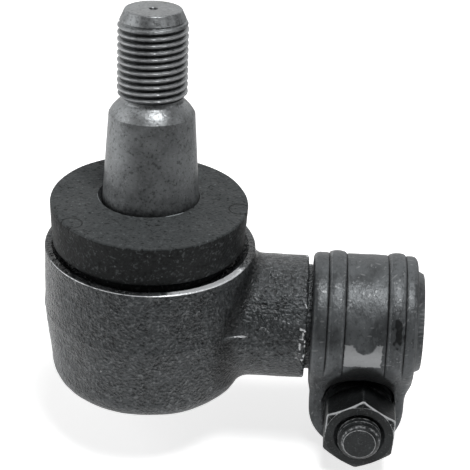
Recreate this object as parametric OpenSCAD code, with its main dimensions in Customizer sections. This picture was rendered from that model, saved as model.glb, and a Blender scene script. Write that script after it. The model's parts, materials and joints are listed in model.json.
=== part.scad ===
// Angle ball joint with a threaded, clamped shank, in millimetres.
// The origin is the ball's centre, +Z is the cup's axis and +X runs along the shank.

/* [Stance] */
// Lean of the stud away from the cup's axis, degrees
stud_lean = 7; // [0:0.5:15]
// Compass direction of that lean, degrees from +X towards +Y
lean_dir = 96; // [0:1:359]

/* [Ball stud] */
// Ball diameter
ball_d = 22.2; // [21:0.1:23]
// Neck diameter between the ball and the taper
neck_d = 13; // [11:0.1:13.4]
// Height of the neck's upper end above the ball's centre
neck_top = 14.5; // [13.5:0.1:16]
// Length of the flare from the neck to the taper
flare_len = 4.5; // [3:0.1:6]
// Small-end diameter of the taper
taper_d = 15.6; // [15:0.1:16.4]
// Taper, as the length in which the diameter grows by one
taper_ratio = 8; // [7:0.5:12]
// Length of the taper
taper_len = 19.4; // [16:0.1:24]
// Height of the rounded shoulder above the taper
shoulder_h = 2.4; // [1.5:0.1:3]
// Swell of that shoulder beyond a straight cone
shoulder_swell = 0.32; // [0.1:0.02:0.5]
// Undercut diameter below the thread
undercut_d = 11.2; // [9.5:0.1:11.6]
// Length of the undercut
undercut_len = 1.6; // [1:0.1:3]
// Outer diameter of the stud thread
thread_d = 12.7; // [12:0.1:13.5]
// Length of the stud thread
thread_len = 11.7; // [8:0.1:16]
// Diameter of the stud's end face
end_d = 10.2; // [8.5:0.1:11.5]
// Length of the cone at the stud's end
end_len = 2.8; // [1:0.1:4]
// Diameter of the centre-drilled dimple in the end face
dimple_d = 1.8; // [1:0.1:4]

/* [Cup] */
// Outer diameter of the cup
cup_d = 38.5; // [37.5:0.1:41]
// Height of the cup's rim above the ball's centre
cup_top = 13.9; // [13.5:0.1:16]
// Clearance between the ball and the cover plate
ball_gap = 0.45; // [0.3:0.05:1]
// Width that the forging draft takes off the cup's side
draft_w = 1.35; // [0.5:0.05:2]
// Height at which the draft begins
draft_top = 2; // [-2:0.1:5]
// Radius of the cup's lower corner
corner_r = 4.5; // [2.5:0.1:5.5]
// Width of the flat land on the rim
rim_w = 1.25; // [0.8:0.05:2]
// Depth of the boot's ledge below the rim
ledge_depth = 1.7; // [1:0.1:2]
// Width of the slope from the rim's land down to that ledge
slope_w = 2; // [1.5:0.1:2.5]
// Diameter of the hole through the cup's upper lip
lip_d = 22; // [21.4:0.1:23]
// Height of the straight part of that hole
lip_h = 2.25; // [1.5:0.05:2.6]
// Widening of the hole from its straight part up to the ledge
mouth_w = 1.9; // [1:0.1:2.5]
// Thickness of the rolled edge that holds the cover
roll_t = 1; // [0.6:0.1:1.5]
// Width of the rolled edge under the cover
roll_w = 2; // [1:0.1:3]

/* [Seats, spring and cover] */
// Wall of both ball seats at the ball's middle
seat_wall = 3.2; // [2.8:0.1:3.5]
// Height of the upper seat's top above the ball's centre
seat_top = 8; // [7.6:0.05:8.4]
// Height of the ball contact in the upper seat
contact_h = 6; // [4:0.1:6.1]
// Width by which the upper seat's mouth stays inside the cup's hole
seat_step = 0.7; // [0.4:0.1:1]
// Half of the gap between the two seats
seat_split = 1; // [0.5:0.1:2]
// Depth of the lower seat below the ball's centre
seat_low = 8.7; // [8:0.05:9]
// Thickness of the disc spring
spring_t = 1.2; // [0.8:0.1:1.5]
// Inner diameter of the disc spring
spring_id = 16.4; // [15:0.1:19]
// Thickness of the cover plate
cover_t = 1.5; // [1.2:0.1:2]

/* [Shank] */
// Shank diameter
shank_d = 22.76; // [21:0.1:23.5]
// Distance from the ball's centre to the shank's shoulder
shank_end = 29.2; // [26:0.1:29.5]
// Diameter of the turned sleeve under the clamp
sleeve_d = 19.36; // [18.6:0.02:20]
// Distance from the ball's centre to the sleeve's end
sleeve_end = 50.6; // [50:0.1:56]
// Chamfer on the sleeve's end
sleeve_chamfer = 0.8; // [0.3:0.1:1]
// Nominal diameter of the rod thread in the sleeve
rod_d = 15.88; // [14:0.02:16.2]
// Depth of the rod thread
rod_depth = 25; // [20:0.1:27]
// Width of the slot that lets the sleeve close
slot_w = 3.2; // [2:0.1:4]
// Fillet between the shank and the cup
fillet_r = 2.4; // [1:0.1:2.5]

/* [Boot] */
// Distance of the boot's top edge inside the cup's wall
boot_in = 1.3; // [1:0.01:2]
// Height of the boot's top above the rim
boot_h = 8.8; // [7.5:0.1:11]
// Width of the boot's raised flat top
flat_w = 5.4; // [4:0.02:6]
// Depth to which the top would fall at the cup's axis
funnel_h = 0.6; // [0.3:0.1:2]
// Chamfer on the boot's top edge
boot_edge = 0.4; // [0.2:0.1:0.8]
// Distance of the boot's lower edge inside its top edge
skirt_in = 0.42; // [0:0.02:0.8]
// Height of the boot's lower edge above the rim
skirt_gap = 1; // [0.5:0.1:2]
// Clearance of the foot inside the ledge
foot_gap = 0.6; // [0.4:0.1:1.2]
// Wall of the foot
foot_wall = 2; // [1.2:0.1:2.4]
// Thickness of the boot's top round the stud
boot_lip = 3; // [2:0.1:4]

/* [Clamp] */
// Distance from the ball's centre to the clamp's near end
clamp_x = 30.1; // [29.6:0.1:31]
// Length of the clamp along the shank
clamp_len = 19.2; // [17:0.1:20]
// Wall of the clamp ring
clamp_t = 2.36; // [1.8:0.02:3]
// Radius of the ring's outer edges
clamp_edge = 1.1; // [0.4:0.1:1.5]
// Distance between the two beads
bead_gap = 10.9; // [8:0.1:12]
// Distance of the beads' middle from the clamp's middle, away from the cup
bead_shift = 0.3; // [0:0.1:0.5]
// Height of a bead above the ring
bead_h = 0.5; // [0.2:0.05:0.8]
// Width of a bead
bead_w = 3.2; // [1.5:0.1:3.5]
// Gap between the two ears
ear_gap = 4.8; // [3.6:0.1:6]
// Thickness of an ear
ear_t = 3.2; // [2:0.1:4]
// Width of an ear, which is also its round end's diameter
ear_w = 18.2; // [16:0.1:19]
// Fillet between the ears and the ring
ear_fillet = 12; // [2:0.5:15]
// Gap between the ring and the bolt
bolt_gap = 0.44; // [0.2:0.02:1.5]
// Distance of the bolt from the clamp's middle, away from the cup
bolt_shift = 0.3; // [0:0.1:0.5]

/* [Fasteners] */
// Clamp bolt diameter
bolt_d = 7.94; // [6:0.02:8.4]
// Width across flats of the bolt head and the nut
hex_af = 12.7; // [12:0.1:14]
// Bite of the hexagon's end chamfer into its flats
hex_bite = 0.1; // [0.05:0.05:0.3]
// Height of the bolt head
head_h = 5.3; // [4:0.1:6]
// Height of the nut
nut_h = 6.75; // [5:0.05:8]
// Turn of the nut about its bolt, degrees
nut_turn = 27; // [0:1:59]
// Thickness of the lock washer
washer_t = 2; // [1:0.1:2.5]
// Outer diameter of the lock washer
washer_d = 13.6; // [12.5:0.1:15]
// Bolt thread that stands out past the nut
bolt_tail = 2.45; // [1:0.05:6]

/* [Fits] */
// Clearance between pieces that stay still
fit = 0.05; // [0.02:0.01:0.08]
// Running clearance between pieces that slide
run = 0.08; // [0.04:0.01:0.1]
// Axial play above the spring and under the boot's foot
play = 0.3; // [0.2:0.05:0.4]
// Clearance of the bolt in its holes, on the radius
bolt_play = 0.2; // [0.1:0.05:0.4]

/* [Hidden] */

steel = "#55595d";
forged = "#3a3e42";
oxide = "#232527";
rubber = "#26282a";
round_fn = 96;
arc_steps = 8;
over = 1;

// Stud stations, measured from the ball's centre along the stud
taper_s = neck_top + flare_len;
shoulder_s = taper_s + taper_len;
undercut_s = shoulder_s + shoulder_h;
thread_run = (thread_d - undercut_d)/2;
thread_s = undercut_s + undercut_len + thread_run;
cone_s = thread_s + thread_len;
stud_end = cone_s + end_len;
taper_big = taper_d + taper_len/taper_ratio;

// Cup levels and radii
seat_d = ball_d + 2*seat_wall;
cavity_r = seat_d/2 + fit;
lip_z = seat_top + fit;
ledge_z = cup_top - ledge_depth;
rim_r = cup_d/2 - rim_w;
ledge_r = rim_r - slope_w;
cover_top = -ball_d/2 - ball_gap;
cover_z = cover_top - cover_t - fit;
cup_base = roll_t - cover_z;
draft_r = cup_d/2 - draft_w;
corner = min(corner_r, draft_r - cavity_r + roll_t);
spring_h = -seat_low - play - cover_top - fit;

// Boot levels and radii
foot_z = ledge_z + play;
foot_r = ledge_r - foot_gap;
skirt_z = cup_top + skirt_gap;
boot_top = cup_top + boot_h;
boot_r = cup_d/2 - boot_in;
flat_r = boot_r - flat_w;

// Clamp stations
clamp_mid = clamp_x + clamp_len/2;
clamp_r = sleeve_d/2 + fit;
ring_r = clamp_r + clamp_t;
ear_out = ear_gap/2 + ear_t;
bolt_drop = ring_r + bolt_gap + bolt_d/2;
hex_corner = hex_af/2/cos(30);
spot_r = max(hex_corner, washer_d/2) + bolt_play;

// Points on an arc about a centre, from one angle to another
function arc(c, r, from, to) =
    [for (i = [0:arc_steps]) let (a = from + (to - from)*i/arc_steps) c + r*[cos(a), sin(a)]];

// Points on the stud's rounded shoulder, a cone that swells between the taper's edge and the undercut
function shoulder() =
    [for (i = [1:arc_steps - 1]) let (u = i/arc_steps, swell = shoulder_swell*sin(180*u))
        [taper_d/2 + (undercut_d - taper_d)/2*u + swell, shoulder_s + shoulder_h*u + swell]];

// Stud outline from the ball's centre to the end face, grown by a clearance
function stud_outline(grow) = concat(
    [[0, 0], [neck_d/2 + grow, 0], [neck_d/2 + grow, neck_top]],
    [[taper_big/2 + grow, taper_s], [taper_d/2 + grow, shoulder_s]],
    [for (p = shoulder()) p + [grow, 0]],
    [[undercut_d/2 + grow, undercut_s], [undercut_d/2 + grow, undercut_s + undercut_len]],
    [[thread_d/2 + grow, thread_s], [thread_d/2 + grow, cone_s]],
    [[end_d/2 + grow, stud_end], [0, stud_end]]);

// Outer radius of the cup at a height, with its draft and lower corner
function cup_r(z) =
    let (corner_z = -cup_base + corner)
    z >= draft_top ? cup_d/2 :
    z >= corner_z ? draft_r + draft_w*(z - corner_z)/(draft_top - corner_z) :
    draft_r - corner + sqrt(max(0, corner*corner - pow(corner_z - z, 2)));

// Distance from the cup's axis to its wall, seen along the shank at a radius and angle
function wall_x(r, a) = sqrt(pow(cup_r(r*sin(a)), 2) - pow(r*cos(a), 2));

// Point on a smooth curve from p through the corner k to q
function bend(p, k, q, t) = (1 - t)*(1 - t)*p + 2*t*(1 - t)*k + t*t*q;

module revolve(points) {
    rotate_extrude($fn = round_fn) polygon(points);
}

module along_x(x) {
    translate([x, 0, 0]) rotate([0, 90, 0]) children();
}

module leaned() {
    rotate([0, stud_lean, lean_dir]) children();
}

// Bolt frame: its z axis starts at the rear ear's outer face and runs to the front
module on_bolt(depth) {
    translate([clamp_mid + bolt_shift, ear_out - depth, -bolt_drop]) rotate([90, 0, 0]) children();
}

// Hexagon with its corners chamfered at the ends that are asked for
module hexagon(h, low_chamfer, high_chamfer) {
    land = hex_af/2 - hex_bite;
    drop = (hex_corner - land)*tan(30);
    intersection() {
        cylinder(r = hex_corner, h = h, $fn = 6);
        revolve([[0, 0], [low_chamfer ? land : hex_corner, 0], [hex_corner, drop], [hex_corner, h - drop],
                 [high_chamfer ? land : hex_corner, h], [0, h]]);
    }
}

// Fillet ring between the round shank and the round cup, swept about the shank's axis
module shank_fillet() {
    sides = 40;
    steps = 5;
    root = 2*fillet_r;
    low_r = shank_d/2 - fit;
    size = min(fillet_r, cup_top - shank_d/2 - fit);
    high_r = shank_d/2 + size;
    ring = steps + 4;
    points = [for (i = [0:sides - 1])
        let (a = 360*i/sides,
             near_x = wall_x(low_r, a),
             far_x = wall_x(high_r, a) - fit,
             curve = [for (j = [0:steps])
                 bend([near_x + size, low_r], [near_x, low_r], [far_x, high_r], j/steps)],
             back = [[far_x - root, high_r], [far_x - root, low_r - root], [near_x + size, low_r - root]])
        for (p = concat(curve, back)) [p[0], p[1]*cos(a), p[1]*sin(a)]];
    faces = [for (i = [0:sides - 1], j = [0:ring - 1])
        let (m = (i + 1)%sides, k = (j + 1)%ring,
             a = i*ring + j, b = i*ring + k, c = m*ring + k, d = m*ring + j)
        each [[a, b, c], [a, c, d]]];
    polyhedron(points, faces);
}

module housing() {
    corner_c = [draft_r - corner, -cup_base + corner];
    mouth_z = lip_z + lip_h;
    color(forged) difference() {
        union() {
            revolve(concat([[0, -cup_base]], arc(corner_c, corner, -90, 0),
                           [[cup_d/2, draft_top], [cup_d/2, cup_top], [0, cup_top]]));
            along_x(0) cylinder(d = shank_d, h = shank_end, $fn = round_fn);
            along_x(shank_end) revolve([[0, -over], [sleeve_d/2, -over],
                [sleeve_d/2, sleeve_end - shank_end - 2*sleeve_chamfer],
                [sleeve_d/2 - sleeve_chamfer, sleeve_end - shank_end], [0, sleeve_end - shank_end]]);
            shank_fillet();
        }
        revolve([[0, -cup_base - over], [cavity_r - roll_w, -cup_base - over], [cavity_r - roll_w, cover_z],
                 [cavity_r, cover_z], [cavity_r, lip_z], [lip_d/2, lip_z], [lip_d/2, mouth_z],
                 [lip_d/2 + mouth_w, ledge_z], [ledge_r, ledge_z], [rim_r, cup_top],
                 [rim_r, cup_top + over], [0, cup_top + over]]);
        along_x(sleeve_end - rod_depth) cylinder(d = rod_d, h = rod_depth + over, $fn = round_fn);
        along_x(sleeve_end - rod_depth - rod_d/4) cylinder(d1 = 0, d2 = rod_d, h = rod_d/4, $fn = round_fn);
        translate([clamp_x + slot_w/2, -slot_w/2, -sleeve_d]) cube([clamp_len*2, slot_w, sleeve_d]);
        translate([clamp_x + slot_w/2, 0, -sleeve_d]) cylinder(d = slot_w, h = sleeve_d, $fn = round_fn);
    }
}

module upper_seat() {
    ball_r = ball_d/2 + run;
    top_r = sqrt(ball_r*ball_r - contact_h*contact_h);
    flare = (lip_d/2 - seat_step - top_r)/(seat_top - contact_h);
    color(steel) difference() {
        translate([0, 0, seat_split]) cylinder(d = seat_d, h = seat_top - seat_split, $fn = round_fn);
        sphere(r = ball_r, $fn = round_fn);
        translate([0, 0, contact_h - over]) cylinder(r1 = top_r - flare*over,
            r2 = top_r + flare*(seat_top + over - contact_h), h = seat_top - contact_h + 2*over, $fn = round_fn);
    }
}

module lower_seat() {
    color(steel) difference() {
        translate([0, 0, -seat_low]) cylinder(r = cavity_r - run, h = seat_low - seat_split, $fn = round_fn);
        sphere(r = ball_d/2 + run, $fn = round_fn);
    }
}

module preload_spring() {
    low_z = cover_top + fit;
    outer_r = cavity_r - play;
    color(steel) revolve([[outer_r, low_z], [outer_r, low_z + spring_t],
        [spring_id/2, low_z + spring_h], [spring_id/2, low_z + spring_h - spring_t]]);
}

module cover_plate() {
    dish = cover_t/3;
    dish_r = cavity_r/2;
    low_z = cover_z + fit;
    color(steel) revolve([[0, low_z + dish], [dish_r - dish, low_z + dish], [dish_r, low_z],
        [cavity_r - fit, low_z], [cavity_r - fit, cover_top], [0, cover_top]]);
}

module ball_stud() {
    color(steel) leaned() difference() {
        union() {
            sphere(d = ball_d, $fn = round_fn);
            revolve(stud_outline(0));
        }
        translate([0, 0, stud_end - dimple_d]) cylinder(d1 = 0, d2 = dimple_d, h = dimple_d, $fn = round_fn);
    }
}

module dust_boot() {
    hollow_r = foot_r - foot_wall;
    lip_low = boot_top - boot_lip;
    color(rubber) difference() {
        revolve([[0, boot_top - funnel_h], [flat_r, boot_top - boot_edge/2],
                 [boot_r - boot_edge, boot_top], [boot_r, boot_top - boot_edge],
                 [boot_r - skirt_in, skirt_z], [foot_r, skirt_z], [foot_r, foot_z], [hollow_r, foot_z],
                 [hollow_r, (foot_z + lip_low)/2], [taper_big/2 + foot_wall, lip_low], [0, lip_low]]);
        leaned() revolve(stud_outline(run));
    }
}

// Clamp ring's outline along the shank, with two beads and rounded edges
function bead(z) = [for (i = [0:arc_steps]) let (u = i/arc_steps)
    [ring_r + bead_h*sin(180*u), z + bead_w*(u - 0.5)]];

module clamp_ring() {
    low = [ring_r - clamp_edge, clamp_edge];
    high = [ring_r - clamp_edge, clamp_len - clamp_edge];
    along_x(clamp_x) revolve(concat([[0, 0]], arc(low, clamp_edge, -90, 0),
        bead((clamp_len - bead_gap)/2 + bead_shift), bead((clamp_len + bead_gap)/2 + bead_shift),
        arc(high, clamp_edge, 0, 90), [[0, clamp_len]]));
}

// Both ears as one block in section, with a fillet on each side where it leaves the ring
module ear_section() {
    fillet_y = ear_out + ear_fillet;
    fillet_z = -sqrt(pow(ring_r + ear_fillet, 2) - fillet_y*fillet_y);
    touch = [fillet_y, fillet_z]*ring_r/(ring_r + ear_fillet);
    translate([-ear_out, -bolt_drop - ear_w]) square([2*ear_out, bolt_drop + ear_w]);
    for (side = [-1, 1]) scale([side, 1]) difference() {
        polygon([[0, 0], touch, [fillet_y, fillet_z], [ear_out, fillet_z], [0, fillet_z]]);
        translate([fillet_y, fillet_z]) circle(r = ear_fillet, $fn = round_fn);
    }
}

// The spot faces give the bolt head, the washer and the nut a flat seat beside the ring
module clamp() {
    color(forged) difference() {
        union() {
            clamp_ring();
            intersection() {
                translate([clamp_mid - ear_w/2, 0, 0]) rotate([90, 0, 90]) linear_extrude(ear_w) ear_section();
                translate([clamp_mid, cup_d, 0]) rotate([90, 0, 0]) linear_extrude(2*cup_d) {
                    translate([0, -bolt_drop]) circle(d = ear_w, $fn = round_fn);
                    translate([-ear_w/2, -bolt_drop]) square([ear_w, bolt_drop]);
                }
            }
        }
        along_x(clamp_x - over) cylinder(r = clamp_r, h = clamp_len + 2*over, $fn = round_fn);
        translate([clamp_x - over, -ear_gap/2, -bolt_drop - ear_w])
            cube([clamp_len + 2*over, ear_gap, bolt_drop + ear_w]);
        on_bolt(-over) cylinder(r = bolt_d/2 + bolt_play, h = 2*ear_out + 2*over, $fn = round_fn);
        on_bolt(-cup_d) cylinder(r = spot_r, h = cup_d, $fn = round_fn);
        on_bolt(2*ear_out) cylinder(r = spot_r, h = cup_d, $fn = round_fn);
    }
}

module clamp_bolt() {
    bolt_len = 2*ear_out + washer_t + nut_h + bolt_tail;
    tip = bolt_d/8;
    color(oxide) union() {
        on_bolt(0) revolve([[0, -over], [bolt_d/2, -over], [bolt_d/2, bolt_len - tip],
                            [bolt_d/2 - tip, bolt_len], [0, bolt_len]]);
        on_bolt(-head_h) hexagon(head_h, true, false);
    }
}

module lock_washer() {
    slit = washer_t/2;
    color(oxide) on_bolt(2*ear_out) difference() {
        cylinder(d = washer_d, h = washer_t, $fn = round_fn);
        translate([0, 0, -over]) cylinder(r = bolt_d/2 + bolt_play, h = washer_t + 2*over, $fn = round_fn);
        rotate(nut_turn) translate([0, -slit/2, -over]) cube([washer_d, slit, washer_t + 2*over]);
    }
}

module clamp_nut() {
    color(oxide) on_bolt(2*ear_out + washer_t) rotate(nut_turn) difference() {
        hexagon(nut_h, true, true);
        translate([0, 0, -over]) cylinder(r = bolt_d/2 + fit, h = nut_h + 2*over, $fn = round_fn);
    }
}

housing();
upper_seat();
lower_seat();
preload_spring();
cover_plate();
ball_stud();
dust_boot();
clamp();
clamp_bolt();
lock_washer();
clamp_nut();
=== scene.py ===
"""Finished surfaces, materials and studio for an angle ball joint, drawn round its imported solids."""

import json
import math

import bpy
import numpy as np
from mathutils import Matrix, Vector


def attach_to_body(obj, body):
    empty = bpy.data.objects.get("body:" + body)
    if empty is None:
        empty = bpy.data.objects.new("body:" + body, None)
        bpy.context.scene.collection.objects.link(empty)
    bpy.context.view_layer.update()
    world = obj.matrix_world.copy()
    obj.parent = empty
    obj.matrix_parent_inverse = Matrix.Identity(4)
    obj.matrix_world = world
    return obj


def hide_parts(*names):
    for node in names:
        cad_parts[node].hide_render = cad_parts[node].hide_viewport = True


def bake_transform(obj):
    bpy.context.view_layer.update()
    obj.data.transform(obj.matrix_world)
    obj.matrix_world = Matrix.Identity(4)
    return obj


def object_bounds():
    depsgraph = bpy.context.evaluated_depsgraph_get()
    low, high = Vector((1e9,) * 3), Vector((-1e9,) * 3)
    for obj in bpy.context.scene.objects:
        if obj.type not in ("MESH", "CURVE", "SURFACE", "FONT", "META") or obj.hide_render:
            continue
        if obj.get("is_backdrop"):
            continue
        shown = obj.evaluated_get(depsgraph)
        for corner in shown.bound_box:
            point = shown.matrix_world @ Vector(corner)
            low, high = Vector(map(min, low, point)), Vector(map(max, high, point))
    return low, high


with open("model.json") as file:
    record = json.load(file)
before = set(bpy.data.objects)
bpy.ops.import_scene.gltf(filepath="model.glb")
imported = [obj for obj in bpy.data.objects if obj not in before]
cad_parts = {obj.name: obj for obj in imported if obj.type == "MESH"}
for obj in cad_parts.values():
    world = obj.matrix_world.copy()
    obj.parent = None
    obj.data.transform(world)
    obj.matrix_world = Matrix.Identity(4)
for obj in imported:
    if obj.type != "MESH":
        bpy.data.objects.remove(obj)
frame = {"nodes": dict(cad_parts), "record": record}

bl_info = {
    "name": "Angle Ball Joint",
    "version": (1, 0, 0),
    "blender": (4, 5, 0),
    "location": "View3D > Sidebar > Ball Joint",
    "description": "Builds the visible surfaces of a clamped angle ball joint and its studio",
    "category": "Mesh",
}

MM = 0.001
FULL_TURN = 2*math.pi
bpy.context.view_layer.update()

# A thread's crest and root flats, as shares of half a pitch, and its depth for a pitch of one
CREST_FLAT = 0.2
ROOT_FLAT = 0.2
THREAD_DEPTH = 0.48

# Rows of points to one pitch of a thread
STUD_ROWS = 20
ROD_ROWS = 14
BOLT_ROWS = 18
NUT_ROWS = 16

# Height of the line where the forging dies met, and length of the clamp bolt's thread
FLASH_Z = 1.8*MM
BOLT_THREAD = 15*MM

# A hexagon's corner-to-corner turn, and the slope of the chamfer on its end
HEX_TURN = math.pi/3
CHAMFER_SLOPE = math.tan(math.radians(30))

# Turns about the shank, from the side downwards, over which the clamp's beads fade out
BEAD_FADE = (-0.62, -0.2)

# Rubbed patch on the clamp's front: its range along the shank and in height, and its notch's centre and radii
PATCH_X = (36.3*MM, 43.1*MM)
PATCH_Z = (-3.2*MM, 1.6*MM)
NOTCH_AT = (39.9*MM, 2*MM)
NOTCH_R = (2.1*MM, 2.3*MM)

# Dark stain on the clamp's outer bead: centre and radii, along the clamp and in height
STAIN_AT = (6.2*MM, 4.6*MM)
STAIN_R = (0.9*MM, 2.7*MM)

# Moulding marks on the boot's top: centres and radius
MARKS = ((-13.3*MM, -10.3*MM), (16.0*MM, -1.3*MM))
MARK_R = 1.85*MM

# Softboxes: place and width, in metres
SOFTBOXES = {
    "key": ((0.12, -0.18, 0.62), 0.24),
    "side": ((0.62, -0.12, 0.3), 0.35),
    "fill": ((-0.62, -0.14, 0.28), 0.5),
}

MOUNTS = {mount["name"]: mount for mount in frame["record"]["mounts"]}
STUD_AXIS = np.array(MOUNTS["stud_thread"]["axis"], float)


def size(label, about, millimetres):
    """A length that a user can change; its default is given in millimetres."""
    return bpy.props.FloatProperty(
        name=label, description=about, default=millimetres*MM, unit="LENGTH", precision=5)


def tint(label, about, red, green, blue):
    """A colour that a user can change."""
    return bpy.props.FloatVectorProperty(
        name=label, description=about, default=(red, green, blue), size=3, min=0, max=1, subtype="COLOR")


def light_level(label, about, value):
    """A level of light that a user can change."""
    return bpy.props.FloatProperty(name=label, description=about, default=value, min=0)


class StudSizes(bpy.types.PropertyGroup):
    """Sizes of the ball stud, measured along its own axis from the ball's centre."""
    ball_d: size("Ball", "Ball diameter", 22.2)
    neck_d: size("Neck", "Neck diameter", 13)
    neck_top: size("Neck top", "Station where the neck ends", 14.5)
    taper_low: size("Taper start", "Station of the taper's large end", 19)
    taper_high: size("Taper end", "Station of the taper's small end", 38.4)
    taper_large: size("Taper large end", "Diameter at the taper's large end", 18.025)
    taper_small: size("Taper small end", "Diameter at the taper's small end", 15.6)
    undercut_d: size("Undercut", "Undercut diameter below the thread", 11.2)
    undercut_low: size("Undercut start", "Station where the rounded shoulder ends", 40.8)
    undercut_high: size("Undercut end", "Station where the undercut ends", 42.4)
    run_out: size("Run-out", "Length over which the thread runs out into the undercut", 0.9)
    thread_d: size("Thread", "Outer diameter of the thread", 12.7)
    thread_low: size("Thread start", "Station of the first full thread", 43.15)
    thread_high: size("Thread end", "Station where the end cone begins", 54.85)
    pitch: size("Pitch", "Thread pitch", 1.27)
    end_d: size("End face", "Diameter of the end face", 10.2)
    end_top: size("End", "Station of the end face", 57.65)
    dimple_d: size("Dimple", "Diameter of the centre-drilled dimple", 1.8)


class BootSizes(bpy.types.PropertyGroup):
    """Sizes of the rubber dust boot, as radii and heights about the cup's axis."""
    top: size("Top", "Height of the top edge", 22.7)
    edge_r: size("Top edge", "Radius of the top edge", 17.95)
    fall: size("Fall", "Fall of the hole's rim from its high side to its low side", 0.6)
    skirt_r: size("Skirt", "Radius of the lower edge", 17.53)
    skirt_z: size("Skirt height", "Height of the lower edge", 14.9)
    foot_r: size("Foot", "Outer radius of the foot", 15.4)
    foot_z: size("Foot height", "Height of the foot's underside", 12.5)
    wall: size("Foot wall", "Wall of the foot", 2)
    lip: size("Lip", "Depth over which the hole follows the stud", 1.2)
    swing_r: size("Swing room", "Radius of the hollow where the stud swings", 14.75)
    swing_z: size("Swing height", "Height of the widest part of the hollow", 15.3)
    roof_z: size("Roof", "Height where the hollow starts to close in on the stud", 17.5)
    grip: size("Grip", "Clearance of the hole round the stud", 0.03)
    gap: size("Gap", "Widest gap between the hole's rim and the stud", 0.75)
    shift: size("Shift", "Shift of the boot's rim along the shank", -0.35)
    tilt: bpy.props.FloatProperty(
        name="Tilt", description="Slope of the boot's top along the shank", default=0.0105)


class HousingSizes(bpy.types.PropertyGroup):
    """Sizes of the forged cup, its shank and the turned sleeve."""
    cup_r: size("Cup", "Outer radius of the cup", 19.25)
    cup_top: size("Rim", "Height of the rim", 13.9)
    cup_base: size("Base", "Depth of the base", 14.1)
    draft_r: size("Draft", "Radius at the lower end of the forging draft", 17.9)
    draft_top: size("Draft top", "Height where the draft begins", 2)
    corner: size("Corner", "Radius of the lower corner", 4.5)
    rim_r: size("Rim land", "Inner radius of the rim's flat land", 18.0)
    ledge_r: size("Ledge", "Radius of the boot's ledge", 16.0)
    ledge_z: size("Ledge height", "Height of the boot's ledge", 12.2)
    mouth_r: size("Mouth", "Radius of the flared mouth", 12.9)
    lip_r: size("Lip", "Radius of the hole through the upper lip", 11)
    lip_high: size("Lip top", "Height where the hole starts to flare", 10.3)
    lip_low: size("Lip underside", "Height of the lip's underside", 8.05)
    cavity_r: size("Cavity", "Radius of the cavity for the seats", 14.35)
    cover_z: size("Rolled edge top", "Height of the rolled edge's upper face", -13.1)
    roll_r: size("Rolled edge", "Inner radius of the rolled edge", 12.35)
    shank_r: size("Shank", "Radius of the shank", 11.38)
    shank_end: size("Shank end", "Distance to the shank's shoulder", 29.2)
    sleeve_r: size("Sleeve", "Radius of the turned sleeve", 9.68)
    sleeve_end: size("Sleeve end", "Distance to the sleeve's end", 50.6)
    chamfer: size("Sleeve chamfer", "Chamfer on the sleeve's end", 0.8)
    rod_r: size("Rod thread", "Outer radius of the rod thread", 7.94)
    rod_start: size("Rod thread start", "Distance to the thread's inner end", 25.6)
    rod_pitch: size("Rod pitch", "Pitch of the rod thread", 1.411)
    slot_w: size("Slot", "Width of the sleeve's slot", 3.2)
    slot_x: size("Slot start", "Distance to the slot's round end", 30.1)
    fillet: size("Fillet", "Fillet between the shank and the cup", 2.4)


class ClampSizes(bpy.types.PropertyGroup):
    """Sizes of the ring clamp round the sleeve."""
    start: size("Start", "Distance to the clamp's near end", 30.1)
    length: size("Length", "Length along the shank", 19.2)
    inner_r: size("Bore", "Inner radius of the ring", 9.73)
    ring_r: size("Ring", "Outer radius of the ring", 12.09)
    edge: size("Edge", "Radius of the ring's outer edges", 1.1)
    bead_gap: size("Bead gap", "Distance between the two beads", 10.9)
    bead_shift: size("Bead shift", "Distance of the beads' middle from the clamp's middle", 0.3)
    bead_h: size("Bead height", "Height of a bead", 0.5)
    bead_w: size("Bead width", "Width of a bead", 3.2)
    ear_gap: size("Ear gap", "Gap between the two ears", 4.8)
    ear_t: size("Ear", "Thickness of an ear", 3.2)
    ear_w: size("Ear width", "Width of an ear", 18.2)
    fillet: size("Ear fillet", "Fillet between the ears and the ring", 12)
    drop: size("Bolt drop", "Depth of the bolt's axis below the shank's axis", 16.5)
    bolt_shift: size("Bolt shift", "Distance of the bolt from the clamp's middle", 0.3)


class FastenerSizes(bpy.types.PropertyGroup):
    """Sizes of the clamp bolt and its nut."""
    bolt_d: size("Bolt", "Bolt diameter", 7.94)
    pitch: size("Pitch", "Thread pitch", 1.058)
    flats: size("Across flats", "Width across flats of the head and the nut", 12.7)
    bite: size("Bite", "Bite of the end chamfer into the flats", 0.1)
    head_h: size("Head", "Height of the bolt head", 5.3)
    nut_h: size("Nut", "Height of the nut", 6.75)
    washer_t: size("Washer", "Thickness of the lock washer", 2)
    tail: size("Tail", "Bolt thread that stands out past the nut", 2.45)
    nut_turn: bpy.props.FloatProperty(
        name="Nut turn", description="Turn of the nut about the bolt", default=math.radians(27),
        subtype="ANGLE")


class Finishes(bpy.types.PropertyGroup):
    """Colours of the surfaces."""
    forged: tint("Forged skin", "Dark scale on the forging", 0.053, 0.058, 0.061)
    forged_light: tint("Rubbed skin", "Lighter, rubbed places on the forging", 0.150, 0.158, 0.163)
    clamp: tint("Clamp", "Oiled steel of the clamp", 0.100, 0.107, 0.112)
    bare: tint("Bare steel", "Steel where the skin is worn off", 0.45, 0.46, 0.47)
    stud: tint("Stud", "Turned steel of the stud", 0.275, 0.287, 0.294)
    stud_dark: tint("Stud stain", "Stains and pits on the stud", 0.050, 0.054, 0.056)
    oxide: tint("Black oxide", "Blackened bolt and nut", 0.022, 0.024, 0.025)
    rubber: tint("Rubber", "Boot rubber", 0.034, 0.037, 0.038)
    seat: tint("Seat steel", "Hardened seats and spring", 0.24, 0.245, 0.25)
    floor: tint("Floor", "Pale studio floor", 0.86, 0.86, 0.86)


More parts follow.
